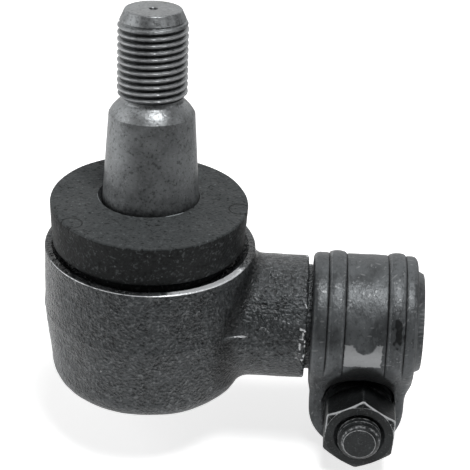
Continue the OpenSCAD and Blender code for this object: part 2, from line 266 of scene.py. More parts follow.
class StageSettings(bpy.types.PropertyGroup):
    """Camera place and light levels."""
    camera: bpy.props.FloatVectorProperty(
        name="Camera", description="Place of the camera", default=(0.023355, -0.345919, 0.209033),
        subtype="TRANSLATION", precision=5)
    azimuth: bpy.props.FloatProperty(
        name="Azimuth", description="Turn of the camera about the vertical", default=0.023, subtype="ANGLE")
    elevation: bpy.props.FloatProperty(
        name="Elevation", description="Angle by which the camera looks down", default=0.508, subtype="ANGLE")
    roll: bpy.props.FloatProperty(
        name="Roll", description="Turn of the picture about the line of sight", default=0.041,
        subtype="ANGLE")
    lens: bpy.props.FloatProperty(
        name="Lens", description="Focal length in millimetres on a 36 mm sensor", default=166.6)
    key: light_level("Key", "Power of the overhead softbox in watts", 3.2)
    side: light_level("Side", "Power of the right softbox in watts", 0.35)
    fill: light_level("Fill", "Power of the left softbox in watts", 1.1)
    ambient: light_level("Ambient", "Level of the room's light", 0.3)


GROUPS = {
    "joint_stud": StudSizes,
    "joint_boot": BootSizes,
    "joint_housing": HousingSizes,
    "joint_clamp": ClampSizes,
    "joint_fasteners": FastenerSizes,
    "joint_finishes": Finishes,
    "joint_stage": StageSettings,
}


# Outlines

def unit(vector):
    """The vector at length one."""
    return vector/np.linalg.norm(vector)


def arc_between(before, here, after, radius, steps=6):
    """Points of the arc of the given radius that is tangent to both sides of a corner."""
    one, two = unit(before - here), unit(after - here)
    half = math.acos(float(np.clip(one @ two, -1, 1)))/2
    reach = radius/math.tan(half)
    centre = here + unit(one + two)*radius/math.sin(half)
    start, end = here + one*reach - centre, here + two*reach - centre
    sweep = math.pi - 2*half
    share = np.linspace(0, 1, steps + 1)[:, None]
    return centre + (start*np.sin((1 - share)*sweep) + end*np.sin(share*sweep))/math.sin(sweep)


def rounded(corners, closed=False):
    """Outline through (across, along, radius) corners; a corner with a radius becomes a tangent arc."""
    corners = np.array(corners, float)
    flat = corners[:, :2]
    last = len(corners) - 1
    pieces = []
    for i, radius in enumerate(corners[:, 2]):
        inner = closed or 0 < i < last
        if radius > 0 and inner:
            pieces.append(arc_between(flat[i - 1], flat[i], flat[(i + 1) % len(flat)], radius))
        else:
            pieces.append(flat[i:i + 1])
    return np.concatenate(pieces + [pieces[0][:1]] if closed else pieces)


def resampled(outline, step):
    """Outline with points added so that no side is longer than step; its own points stay."""
    sides = np.linalg.norm(np.diff(outline, axis=0), axis=1)
    along = np.concatenate([[0], np.cumsum(sides)])
    counts = np.maximum(1, np.ceil(sides/step)).astype(int)
    spans = [np.linspace(a, b, n, endpoint=False) for a, b, n in zip(along, along[1:], counts)]
    places = np.concatenate(spans + [along[-1:]])
    return np.column_stack([np.interp(places, along, outline[:, i]) for i in (0, 1)])


def arc(centre, radius, start, end, steps=24):
    """Corner list of an arc from one angle to another, in degrees, with no rounding of its own."""
    angles = np.radians(np.linspace(start, end, steps + 1))
    return [(centre[0] + radius*math.cos(a), centre[1] + radius*math.sin(a), 0) for a in angles]


# Surfaces

def smooth(value, low, high):
    """Smooth step from 0 at low to 1 at high."""
    share = np.clip((value - low)/(high - low), 0, 1)
    return share*share*(3 - 2*share)


def bell(offset, width):
    """1 where the offset is 0, and the exponential of minus the square of offset over width elsewhere."""
    return np.exp(-(offset/width)**2)


def round_over(inset, radius):
    """Depth that a rounded edge takes off at a distance inside that edge."""
    inset = np.clip(inset, 0, radius)
    return radius - np.sqrt(radius**2 - (radius - inset)**2)


def thread_wave(turn, along, pitch):
    """0 on a crest and 1 in a root: a zigzag of the distance along the axis, shifted by one pitch a turn."""
    phase = along/pitch - turn/FULL_TURN
    return np.abs((phase - np.floor(phase))*2 - 1)


def thread_cut(turn, along, pitch):
    """Depth of a right-hand thread below its crest: flat crests and roots joined by straight flanks."""
    wave = thread_wave(turn, along, pitch)
    return THREAD_DEPTH*pitch*np.clip((wave - CREST_FLAT)/(1 - CREST_FLAT - ROOT_FLAT), 0, 1)


def lumps(points, wavelength, seed):
    """Smooth unevenness between about -1 and 1: the sum of plane waves in random directions."""
    draw = np.random.default_rng(seed)
    waves = draw.normal(size=(14, 3))
    waves *= FULL_TURN/wavelength*draw.uniform(0.6, 1.4, (14, 1))/np.linalg.norm(waves, axis=1)[:, None]
    shift = draw.uniform(0, FULL_TURN, 14)
    return np.sin(points @ waves.T + shift).sum(axis=-1)/math.sqrt(14)


def turned(radius, along, turn, axes):
    """Surface about an axis: the point at each radius, turn and distance along it."""
    centre, side, up, axis = (np.array(v, float) for v in axes)
    ring = np.cos(turn)[..., None]*side + np.sin(turn)[..., None]*up
    return centre + np.asarray(radius)[..., None]*ring + np.asarray(along)[..., None]*axis


def round_turns(columns, start=0.0):
    """Evenly spaced turns about an axis."""
    return start + FULL_TURN*np.arange(columns)/columns


def signed_volume(points, quads):
    """Volume inside a closed set of quads, negative where they face inwards."""
    a, b, c, d = (points[quads[:, i]] for i in range(4))
    return (np.einsum("ij,ij->", a, np.cross(b, c)) + np.einsum("ij,ij->", a, np.cross(c, d)))/6


def bridged(row, meet):
    """Triangles that shut a forked end row, whose second half mirrors its first: the outer run from the top
    is joined to the inner run step by step, by the share of length gone, down to the point where they meet."""
    count = len(row)
    half = count//2
    outer = np.arange(meet + 1)
    inner = np.arange(half, meet - 1, -1)
    gone = []
    for run in (outer, inner):
        steps = np.linalg.norm(np.diff(row[run], axis=0), axis=1)
        gone.append(np.append(np.cumsum(steps)/steps.sum(), 2))
    triples = []
    i = j = 0
    while i < len(outer) - 1 or j < len(inner) - 1:
        if gone[0][i] <= gone[1][j]:
            triples.append((outer[i], outer[i + 1], inner[j]))
            i += 1
        else:
            triples.append((outer[i], inner[j + 1], inner[j]))
            j += 1
    triples = np.array([t for t in triples if len(set(t)) == 3])
    mirrored = (count - triples[:, ::-1]) % count
    return np.concatenate([triples, mirrored])


def make_piece(name, grid, material, closed_rows=False, sharp=32, wear=None, fork=None):
    """Object from a grid of points, facing outwards. Columns run round the piece and rows along it. Where
    the rows are open, each end row is shut by one flat face, or by a bridged fork where its meeting point
    is given."""
    rows, columns = grid.shape[:2]
    index = np.arange(rows*columns).reshape(rows, columns)
    low = index if closed_rows else index[:-1]
    high = np.roll(index, -1, axis=0) if closed_rows else index[1:]
    quads = np.stack([low, np.roll(low, -1, axis=1), np.roll(high, -1, axis=1), high], axis=-1).reshape(-1, 4)
    points = grid.reshape(-1, 3)
    outwards = signed_volume(points - points.mean(axis=0), quads) >= 0
    faces = (quads if outwards else quads[:, ::-1]).tolist()
    if not closed_rows:
        cap = np.arange(columns)[None, :] if fork is None else bridged(grid[0], fork)
        for end in (index[0][cap][:, ::-1], index[-1][cap]):
            faces += (end if outwards else end[:, ::-1]).tolist()
    mesh = bpy.data.meshes.new(name)
    mesh.from_pydata(points.tolist(), [], faces)
    mesh.polygons.foreach_set("use_smooth", np.ones(len(mesh.polygons), bool))
    mesh.set_sharp_from_angle(angle=math.radians(sharp))
    if wear is not None:
        layer = mesh.attributes.new("wear", "FLOAT", "POINT")
        layer.data.foreach_set("value", np.broadcast_to(wear, (rows, columns)).astype(np.float32).ravel())
    mesh.materials.append(material)
    mesh.update()
    piece = bpy.data.objects.new(name, mesh)
    bpy.context.scene.collection.objects.link(piece)
    return piece


def attach(piece, body, slot, *nodes):
    """Carries a piece on a body, in place of the CAD nodes that it stands for."""
    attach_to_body(piece, body)
    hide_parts(*nodes)


# Ball stud

def stud_axes():
    """Frame of the stud: the ball's centre, two directions across the stud and its axis."""
    side = unit(np.cross([0, 1, 0], STUD_AXIS))
    return (0, 0, 0), side, np.cross(STUD_AXIS, side), STUD_AXIS


def stud_radius(p, station):
    """Radius of the stud's plain part at a station: neck, flare and taper."""
    stations = [0, p.neck_top, p.taper_low, p.taper_high]
    return np.interp(station, stations, [p.neck_d/2, p.neck_d/2, p.taper_large/2, p.taper_small/2])


def stud_outline(p):
    """Radius and station along the stud: ball, neck, taper, bulged shoulder, undercut, thread, cone and
    dimple."""
    ball_r = p.ball_d/2
    meets = math.degrees(math.acos(p.neck_d/p.ball_d))
    bulge = 0.12*MM
    shoulder = np.linspace(0, 1, 15)[1:]
    root_r = p.undercut_d/2 + 0.15*MM
    swell = bulge*np.sin(math.pi*shoulder)
    shoulder_r = p.taper_small/2 + (root_r - p.taper_small/2)*shoulder + swell
    shoulder_s = p.taper_high + (p.undercut_low - p.taper_high)*shoulder + swell
    corners = arc((0, 0), ball_r, -88, meets)
    corners += [(p.neck_d/2, p.neck_top, 3*MM), (p.taper_large/2, p.taper_low, 2*MM)]
    corners += [(p.taper_small/2, p.taper_high, 0)]
    corners += [(r, s, 0) for r, s in zip(shoulder_r, shoulder_s)]
    corners += [(p.undercut_d/2, p.undercut_low + 0.35*MM, 0)]
    corners += [(p.undercut_d/2, p.undercut_high - p.run_out, 0)]
    corners += [(p.thread_d/2, p.thread_low - p.run_out, 0), (p.thread_d/2, p.thread_high, 0)]
    corners += [(p.end_d/2, p.end_top, 0.35*MM), (p.dimple_d/2, p.end_top, 0.1*MM)]
    corners += [(0.03*MM, p.end_top - p.dimple_d/2, 0)]
    return rounded(corners)


def build_stud(p, material):
    """The stud turned about its axis; where the thread cuts deeper than the outline, the thread holds."""
    plain = stud_outline(p)
    start = p.undercut_high - p.run_out
    edge = int(np.argmax(plain[:, 1] >= p.taper_high - 1e-9))
    split = int(np.argmax(plain[:, 1] >= start - 1e-9))
    cone = split + int(np.argmax(plain[split:, 0] <= p.end_d/2 + 0.4*MM))
    parts = [resampled(plain[:edge + 1], 0.6*MM), resampled(plain[edge:split + 1], 0.3*MM)[1:],
             resampled(plain[split:cone + 1], p.pitch/STUD_ROWS)[1:], resampled(plain[cone:], 0.4*MM)[1:]]
    outline = np.concatenate(parts)
    turn = round_turns(168)
    radius = np.repeat(outline[:, :1], len(turn), axis=1)
    along = np.repeat(outline[:, 1:], len(turn), axis=1)
    threaded = (along > start) & (along < p.end_top - 0.2*MM)
    cut = thread_cut(turn[None, :], along, p.pitch)*smooth(p.end_top - 1.3*MM - along, 0, 0.7*MM)
    radius = np.where(threaded, np.minimum(radius, p.thread_d/2 - cut), radius)
    depth = cut/(THREAD_DEPTH*p.pitch)
    full = smooth(p.thread_high - along, -0.4*MM, 0.4*MM)
    # Painted shade, with dirt, on the stud where it goes into the boot; painted shade in the centre-drilled
    # dimple.
    shade_and_dirt = smooth(24.6*MM - along, 0, 3.6*MM)*(along > p.taper_low)
    dimple = (radius < p.dimple_d/2 - 0.05*MM)*(along > p.thread_high)
    piece = make_piece("ball_stud_turned", turned(radius, along, turn, stud_axes()), material,
                       sharp=16, wear=np.where(threaded, full*(0.95 - 1.9*depth), -0.8*shade_and_dirt) - 1.2*dimple)
    attach(piece, "stud", "turned_steel", "ball_stud")


# Dust boot

def hole_points(stud, height, turn, grip):
    """Points on the stud's leaned cone at given heights: each ray from the axis at that height is
    lengthened until its distance from the axis is the stud's radius there."""
    centre = STUD_AXIS[None, None, :]*(height/STUD_AXIS[2])[..., None]
    ray = np.stack([np.cos(turn), np.sin(turn), np.zeros_like(turn)], axis=-1)
    reach = np.full(height.shape, stud.taper_large/2)
    for _ in range(6):
        point = centre + reach[..., None]*ray
        station = point @ STUD_AXIS
        across = np.linalg.norm(point - station[..., None]*STUD_AXIS, axis=-1)
        reach = reach*(stud_radius(stud, station) + grip)/across
    return centre + reach[..., None]*ray


def build_boot(p, stud, material):
    """Rubber ring as a closed loop carried round the cup's axis: edge, wall, skirt, foot and hollow are
    circles about that axis, the hole follows the leaned stud, and the top runs from its rim out to the edge.
    The hollow widens where the stud swings, and its roof slants from there to the hole."""
    turn = round_turns(320)
    hollow_r = p.foot_r - p.wall
    roof_r = p.edge_r - 3*MM
    outline = rounded([
        (roof_r, p.top - 0.05*MM, 0), (p.edge_r - 0.1*MM, p.top, 0.28*MM), (p.edge_r, p.top - 0.5*MM, 0),
        (p.skirt_r, p.skirt_z, 0.45*MM), (p.foot_r, p.skirt_z, 0.3*MM), (p.foot_r, p.foot_z, 0.3*MM),
        (hollow_r, p.foot_z, 0.3*MM), (hollow_r, p.swing_z - 1.4*MM, 0.3*MM),
        (p.swing_r, p.swing_z - 0.2*MM, 0.5*MM), (p.swing_r, p.swing_z + 0.6*MM, 0.5*MM),
        (p.swing_r - 0.85*MM, p.roof_z, 0)])
    outline = resampled(outline, 0.3*MM)
    centre = np.where(outline[:, :1] > p.foot_r + 0.2*MM, p.shift, 0)
    shell = turned(outline[:, :1] + 0*turn, outline[:, 1:] + 0*turn, turn, cup_axes())
    shell[..., 0] += centre
    gap = p.grip + 0.12*MM + p.gap*np.clip(np.cos(turn - math.radians(212)), 0, 1)
    rim_z = p.top - p.fall/2 + p.fall/2*np.cos(turn + math.pi/2)
    rim = hole_points(stud, rim_z[None, :], turn[None, :], gap[None, :])
    sink = p.lip*np.array([1, 0.6, 0.34, 0.15, 0.05])[:, None]
    share = np.array([0, 0.35, 0.65, 0.86, 0.97])[:, None]
    throat = hole_points(stud, rim_z - sink, turn + 0*sink, p.grip + (gap - p.grip)*share)
    spread = np.linspace(0, 1, 18)[1:-1, None, None]
    roof = rim + (shell[:1] - rim)*spread
    roof[..., 2] = rim[..., 2] + (shell[:1, :, 2] - rim[..., 2])*smooth(spread[..., 0], 0, 0.8)
    slant = shell[-1:] + (throat[:1] - shell[-1:])*np.linspace(0, 1, 14)[1:-1, None, None]
    grid = np.concatenate([shell, slant, throat, rim, roof])
    grid[..., 2] -= p.tilt*grid[..., 0]*smooth(grid[..., 2], p.skirt_z, p.top - 3*MM)
    grid += (0.03*MM*lumps(grid, 9*MM, 5))[..., None]*np.array([0.3, 0.3, 1])
    # Painted light on the boot: its sides get painted shade against a lighter top, and two spots on the top
    # edge get painted highlights.
    painted_light = np.zeros(grid.shape[:2])
    painted_light[:len(outline)] = -1.0*(outline[:, 1:] < p.top - 0.35*MM)
    edge_row = len(grid) - len(roof) - 1
    painted_light[edge_row] = smooth(np.cos(turn - math.radians(303)), 0.968, 0.99)
    painted_light[edge_row] += 0.6*smooth(np.cos(turn - math.radians(196)), 0.95, 0.99)
    piece = make_piece("dust_boot_rubber", grid, material, closed_rows=True, sharp=50, wear=painted_light)
    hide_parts("dust_boot")
    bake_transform(piece)


# Housing

def cup_axes():
    """Frame of the cup: its axis is +Z, and turns are counted from +X towards +Y."""
    return (0, 0, 0), (1, 0, 0), (0, 1, 0), (0, 0, 1)


def cup_wall(p, height):
    """Outer radius of the cup at a height: straight wall, forging draft and round lower corner."""
    bend = p.corner - p.cup_base
    draft = np.interp(height, [bend, p.draft_top], [p.draft_r, p.cup_r])
    drop = np.clip(bend - height, 0, p.corner)
    return np.where(height >= bend, draft, p.draft_r - p.corner + np.sqrt(p.corner**2 - drop**2))


def forged(points):
    """Unevenness of the forged skin in metres: broad swells and smaller dents."""
    return 0.05*MM*lumps(points, 11*MM, 3) + 0.022*MM*lumps(points, 2.6*MM, 4)


def flash_line(height):
    """Low ridge left where the forging dies met, a little above the shank's mid-height."""
    return 0.08*MM*bell(height - FLASH_Z, 0.3*MM)


def build_cup(p, material):
    """Cup as a closed outline carried round its axis, with an uneven forged wall and a turned rim."""
    outline = [(p.roll_r, -p.cup_base, 0.3*MM), (p.draft_r - p.corner, -p.cup_base, 0)]
    outline += arc((p.draft_r - p.corner, p.corner - p.cup_base), p.corner, -86, 0, 20)
    outline += [(p.cup_r, p.draft_top, 9*MM), (p.cup_r, p.cup_top, 0.32*MM), (p.rim_r, p.cup_top, 0.18*MM),
                (p.ledge_r, p.ledge_z, 0.4*MM), (p.mouth_r, p.ledge_z, 0.3*MM), (p.lip_r, p.lip_high, 0.3*MM),
                (p.lip_r, p.lip_low, 0.1*MM), (p.cavity_r, p.lip_low, 0.1*MM),
                (p.cavity_r, p.cover_z, 0.1*MM), (p.roll_r, p.cover_z, 0.2*MM)]
    loop = resampled(rounded(outline, closed=True), 0.55*MM)[:-1]
    turn = round_turns(300)
    radius = loop[:, :1] + 0*turn
    along = loop[:, 1:] + 0*turn
    skin = (along < p.cup_top - 0.6*MM) & (radius > p.cavity_r + 0.5*MM) & (along < p.ledge_z)
    skin |= (radius > p.rim_r) & (along < p.cup_top - 0.6*MM)
    fade = smooth(p.cup_top - 0.6*MM - along, 0, 3*MM)
    bare = turned(radius, along, turn, cup_axes())
    radius = radius + np.where(skin, fade*(forged(bare) + flash_line(along)), 0)
    # Painted light on the cup: a painted highlight on the rim's land to the right front, painted shade on the
    # land's front under the boot, a painted highlight along the rim's front edge, and painted shade in the
    # corner beside the shank.
    land = bell(along - p.cup_top, 0.12*MM)*(radius > p.rim_r - 0.4*MM)
    lit = smooth(np.cos(turn + math.radians(50)), 0.74, 0.98)
    edge = bell(np.hypot(radius - p.cup_r + 0.08*MM, along - p.cup_top + 0.08*MM), 0.13*MM)
    edge = edge*smooth(np.cos(turn + math.radians(98)), 0.1, 0.7)
    corner = smooth(17*MM - np.hypot(bare[..., 1], bare[..., 2]), 0, 5*MM)*(bare[..., 0] > 0)
    shaded = smooth(np.cos(turn + math.pi/2), -0.1, 0.6)
    wear = land*(1.8*lit - 0.8*shaded) + 1.4*edge - 0.7*corner
    piece = make_piece("housing_cup", turned(radius, along, turn, cup_axes()), material,
                       closed_rows=True, wear=wear)
    attach(piece, "housing", "forged_steel", "housing")


def shank_axes():
    """Frame of the shank: its axis is +X, and turns are counted from +Y towards +Z."""
    return (0, 0, 0), (0, 1, 0), (0, 0, 1), (1, 0, 0)


def build_shank(p, material):
    """Shank about its own axis: an inner end that stays within the cup's wall, a fillet curve that leaves
    the round cup and runs into the shank, then shoulder, sleeve, and threaded bore."""
    turn = round_turns(240)
    fillet_high = p.shank_r + p.fillet
    lift = 0.03*MM

    def wall_x(radius, sunk=0.0):
        height = radius*np.sin(turn)
        return np.sqrt((cup_wall(p, height) - sunk)**2 - (radius*np.cos(turn))**2)

    near_x = wall_x(p.shank_r)
    far_x = wall_x(fillet_high) - lift
    share = np.linspace(0, 1, 15)[:, None]
    fillet_x = (1 - share)**2*far_x + 2*share*(1 - share)*near_x + share**2*(near_x + p.fillet)
    fillet_r = (1 - share)**2*fillet_high + (1 - (1 - share)**2)*p.shank_r + 0*turn
    root_r = fillet_high*np.linspace(0.05, 1, 14)[:, None] + 0*turn
    root_x = wall_x(root_r, 0.9*MM)
    run = np.linspace(0, 1, 22)[1:, None]
    edge = 0.5*MM
    run_x = near_x + p.fillet + (p.shank_end - edge - near_x - p.fillet)*run
    outline = rounded([(p.shank_r, p.shank_end - edge, 0), (p.shank_r, p.shank_end, 0.45*MM),
                       (p.sleeve_r, p.shank_end, 0.25*MM), (p.sleeve_r, p.slot_x, 0), (p.rod_r, p.slot_x, 0)])
    outline = resampled(outline, 0.4*MM)[1:]
    steps = int((p.slot_x - p.rod_start)/p.rod_pitch*ROD_ROWS)
    bore_x = np.linspace(p.slot_x, p.rod_start, steps)[1:, None] + 0*turn
    bore_r = p.rod_r - 0.01*MM - thread_cut(turn[None, :], bore_x, p.rod_pitch)
    drill_x = np.array([[p.rod_start - 0.1*MM], [p.rod_start - p.rod_r/2 + 0.1*MM]]) + 0*turn
    drill_r = np.array([[p.rod_r - THREAD_DEPTH*p.rod_pitch], [0.05*MM]]) + 0*turn
    along = np.concatenate([root_x, fillet_x, run_x, outline[:, 1:] + 0*turn, bore_x, drill_x])
    radius = np.concatenate([root_r, fillet_r, p.shank_r + 0*run_x, outline[:, :1] + 0*turn, bore_r, drill_r])
    bare = turned(radius, along, turn, shank_axes())
    ease = np.clip((p.shank_end - 0.4*MM - along)/(2*MM), 0, 1)
    swell = ease*np.where(radius >= p.shank_r - 1e-6, forged(bare) + flash_line(bare[..., 2]), 0)
    chips = smooth(lumps(bare, 1.5*MM, 12), 0.7, 1.2)
    end = bell(along - p.shank_end + 0.3*MM, 0.35*MM)*(radius > p.shank_r - 0.45*MM)
    near_cup = np.clip((along - near_x)/(3.2*MM), 0, 1)
    line = bell(bare[..., 2] - FLASH_Z, 0.22*MM)*(bare[..., 1] < 0)*(1 - smooth(near_cup, 0.8, 1))
    # Painted shade where the shank meets the cup.
    corner = (1 - smooth(near_cup, 0, 1))*(radius >= p.shank_r - 1e-6)
    flaked = smooth(along, p.shank_end - 3*MM, p.shank_end - 1*MM)*(radius > p.shank_r - 0.45*MM)
    flaked *= smooth(4.5*MM - np.abs(bare[..., 2]), 0, 1*MM)*(bare[..., 1] < 0)
    flaked *= smooth(lumps(bare, 0.9*MM, 15), 0.1, 0.7)
    wear = end*chips + 0.95*flaked + 1.6*line - 0.7*corner
    grid = turned(radius + swell, along, turn, shank_axes())
    piece = make_piece("housing_shank", grid, material, wear=wear)
    attach(piece, "housing", "forged_steel", "housing")


def build_sleeve(p, material):
    """Slotted end of the sleeve: a closed outline swept round the shank's axis from one face of the slot
    to the other. The slot opens from nothing along a half circle to its full width."""
    outline = rounded([(p.rod_r, p.slot_x, 0), (p.sleeve_r, p.slot_x, 0),
                       (p.sleeve_r, p.sleeve_end - 2*p.chamfer, 0.4*MM),
                       (p.sleeve_r - p.chamfer, p.sleeve_end, 0.3*MM),
                       (p.rod_r + 0.25*MM, p.sleeve_end, 0.15*MM),
                       (p.rod_r - 0.55*MM, p.sleeve_end - 0.8*MM, 0)])
    outline = resampled(outline, 0.4*MM)
    steps = int((p.sleeve_end - p.slot_x)/p.rod_pitch*ROD_ROWS)
    bore_x = np.linspace(p.sleeve_end - 0.9*MM, p.slot_x, steps)[:-1]
    sweep = np.linspace(0, 1, 220)[:, None]

    def swept(radius, along):
        half = p.slot_w/2
        width = np.where(along < p.slot_x + half,
                         np.sqrt(np.maximum(half**2 - (p.slot_x + half - along)**2, 0)), half)
        start = np.arcsin(np.clip((width + 0.01*MM)/radius, 0, 1))
        return -math.pi/2 + start + sweep*(FULL_TURN - 2*start)

    shell_turn = swept(outline[:, 0], outline[:, 1])
    bore_turn = swept(p.rod_r, bore_x)
    bore_r = p.rod_r - 0.01*MM - thread_cut(bore_turn, bore_x[None, :], p.rod_pitch)
    mouth = p.rod_r - 0.55*MM + np.clip((bore_x[None, :] - p.sleeve_end + 0.8*MM), 0, 1)
    turn = np.concatenate([shell_turn, bore_turn], axis=1)
    radius = np.concatenate([outline[None, :, 0] + 0*sweep, np.maximum(bore_r, mouth)], axis=1)
    along = np.concatenate([outline[:, 1], bore_x])[None, :] + 0*sweep
    face = bell(along - p.sleeve_end, 0.5*MM)
    grid = turned(radius, along, turn, shank_axes())
    # Turning marks on the chamfer's front painted bright: a painted highlight on real marks.
    turning_glints = smooth(along, p.sleeve_end - 1.4*MM, p.sleeve_end - 1*MM)*smooth(np.cos(72*turn), -0.2, 0.6)
    turning_glints *= smooth(grid[..., 2], 1*MM, 2*MM)*smooth(-grid[..., 2], -7*MM, -6*MM)*(grid[..., 1] < 0)
    piece = make_piece("housing_sleeve", grid, material, wear=0.5*face + 0.8*turning_glints)
    attach(piece, "housing", "forged_steel", "housing")


# Clamp

def build_clamp(p, fastener, material):
    """Clamp as a closed section carried along the shank: the ring's radius carries its beads and round edges,
    the beads fade out above the ears, and the ears narrow a little down to their round ends."""
    half = p.length/2
    marks = np.array([0, 0.02, 0.06, 0.12, 0.2, 0.3, 0.42, 0.56, 0.72, 0.9])*MM
    middle_run = np.linspace(-half + p.edge, half - p.edge, 120)
    across = np.unique(np.concatenate([marks - half, middle_run, half - marks]))[:, None]
    soft = round_over(half - np.abs(across), p.edge)
    ring_r = p.ring_r - soft
    ear_face = p.ear_gap/2 + p.ear_t
    ear_out = ear_face - 0.6*soft
    side = ear_out + p.fillet
    fillet_z = -np.sqrt((ring_r + p.fillet)**2 - side**2)
    touch = np.arctan2(fillet_z, side)
    outer = math.pi/2 + (touch - math.pi/2)*np.linspace(0, 1, 110)
    fade = smooth(outer, *BEAD_FADE)
    places = [p.bead_shift - p.bead_gap/2, p.bead_shift + p.bead_gap/2]
    bead = sum(bead_height(p, across - place) for place in places)
    outer_r = ring_r + bead*fade
    bend = (touch + math.pi) - touch*np.linspace(0, 1, 42)[1:]
    ear_half = p.ear_w/2
    share = across/half
    bottom = -p.drop - ear_half*np.sqrt(np.maximum(1 - share**2, 0))
    face_z = fillet_z + (bottom - fillet_z)*(1 - (1 - np.linspace(0, 1, 36)[1:])**1.8)
    corner_z = -math.sqrt(p.inner_r**2 - (p.ear_gap/2)**2)
    base = np.linspace(0, 1, 8)[1:]
    back_z = bottom + (corner_z - bottom)*np.linspace(0, 1, 20)[1:]
    inner = np.linspace(math.asin(corner_z/p.inner_r), math.pi/2, 60)[1:]
    level = 0*across
    y = np.concatenate([outer_r*np.cos(outer), side + p.fillet*np.cos(bend), ear_out + 0*face_z,
                        ear_out + (p.ear_gap/2 - ear_out)*base, p.ear_gap/2 + 0*back_z,
                        p.inner_r*np.cos(inner) + level], axis=1)
    z = np.concatenate([outer_r*np.sin(outer), fillet_z + p.fillet*np.sin(bend), face_z, bottom + 0*base,
                        back_z, p.inner_r*np.sin(inner) + level], axis=1)
    y = ear_edges(p, fastener, across, y, z)
    y = np.concatenate([y, -y[:, -2:0:-1]], axis=1)
    z = np.concatenate([z, z[:, -2:0:-1]], axis=1)
    sink = smooth(-z, 9*MM, 14*MM)
    narrow = np.where(across < 0, ear_half/half, (ear_half - 0.5*MM)/half)
    x = p.start + half + across*(1 + (narrow - 1)*sink)
    grid = np.stack([x, y, z], axis=-1)
    away = np.hypot(y, z)
    radial = np.stack([0*x, y, z], axis=-1)/away[..., None]
    grid = grid + radial*np.where(away > p.inner_r + 0.6*MM, 0.025*MM*lumps(grid, 4*MM, 8), 0)[..., None]
    above = smooth(np.arctan2(z, np.abs(y)), *BEAD_FADE)
    # Painted shade in the grooves beside the beads and painted highlights along the beads' edges, on the upper
    # part of the ring.
    groove = sum(bell(np.abs(across - place) - p.bead_w/2, 0.14*MM) for place in places)
    crest = sum(bell(np.abs(across - place) - p.bead_w/2 + 0.45*MM, 0.22*MM) for place in places)
    rim = bell(half - np.abs(across) - 0.45*MM, 0.3*MM)
    # Painted shade on the ears round the nut, under the ring; the stain on the outer bead is real.
    beside = np.hypot((across - p.bolt_shift)/0.55, z + p.drop)
    shade_and_dirt = smooth(14.5*MM - beside, 0, 2.5*MM)*(away > p.inner_r + 0.6*MM)
    stain = np.hypot((across - STAIN_AT[0])/STAIN_R[0], (z - STAIN_AT[1])/STAIN_R[1])
    stain = stain + 0.35*lumps(grid, 1.6*MM, 14)
    shade_and_dirt = np.maximum(shade_and_dirt, smooth(1.25 - stain, 0, 0.5)*(y < 0))
    wear = (0.6*crest - groove)*above + 0.55*rim*smooth(z, -14*MM, -10*MM) - 0.95*shade_and_dirt
    meet = outer.shape[1] + bend.shape[1] + face_z.shape[1] + len(base)//2
    piece = make_piece("clamp_ring", grid, material, sharp=40, wear=wear, fork=meet)
    attach(piece, "housing", "forged_steel", "clamp")


def bead_height(p, offset):
    """Height of one bead across the ring: a half wave, with a narrow groove on each side."""
    inside = np.abs(offset) < p.bead_w/2
    wave = p.bead_h*np.sqrt(np.cos(np.clip(offset/p.bead_w, -0.5, 0.5)*math.pi))
    groove = 0.14*MM*bell(np.abs(offset) - p.bead_w/2 - 0.05*MM, 0.14*MM)
    return np.where(inside, wave, 0) - groove


def ear_edges(p, fastener, across, y, z):
    """Rounds the ears' lower edges and cuts the flat seats for the nut and the head beside the ring."""
    ear_face = p.ear_gap/2 + p.ear_t
    reach = np.hypot(across/p.length*2, np.minimum(z + p.drop, 0)/p.ear_w*2)
    lower = round_over((1 - reach)*p.ear_w/2, 0.6*MM)*smooth(-z, p.drop - 3*MM, p.drop)
    outer_face = (y > p.ear_gap/2 + p.ear_t/2) & (z < -p.drop + 4*MM)
    y = np.where(outer_face, y - 0.8*lower, y)
    seat_r = fastener.flats/2/math.cos(HEX_TURN/2) + 0.2*MM
    distance = np.hypot(across - p.bolt_shift, z + p.drop)
    seat = ear_face + 2.5*np.maximum(distance - seat_r, 0)
    return np.where((z < 0) & (y > ear_face), np.minimum(y, seat), y)


# Bolt and nut

def bolt_axes(clamp):
    """Frame of the bolt: it starts at the rear ear's outer face and runs to the front, along -Y."""
    ear_out = clamp.ear_gap/2 + clamp.ear_t
    bolt_x = clamp.start + clamp.length/2 + clamp.bolt_shift
    return (bolt_x, ear_out, -clamp.drop), (1, 0, 0), (0, 0, 1), (0, -1, 0)


def hexagon_radius(p, turn, first_corner):
    """Distance from the axis to a hexagon's side at each turn, with its corners a little rubbed off."""
    off = np.mod(turn - first_corner, HEX_TURN) - HEX_TURN/2
    corner = p.flats/2/math.cos(HEX_TURN/2)
    return np.minimum(p.flats/2/np.cos(off), corner - 0.12*MM)


def chamfered(p, plain, distance):
    """Radius left by the cone that chamfers a hexagon, at a distance from its end face, and how near
    to 1 the surface lies to the edge between that cone and the flats."""
    cone = p.flats/2 - p.bite + distance/CHAMFER_SLOPE
    return np.minimum(plain, cone), bell(cone - plain, 0.36*MM)


def bolt_stations(p, clamp):
    """Stations along the bolt: the seat of the nut and the bolt's tip."""
    ear_out = clamp.ear_gap/2 + clamp.ear_t
    seat = 2*ear_out + p.washer_t
    return seat, seat + p.nut_h + p.tail


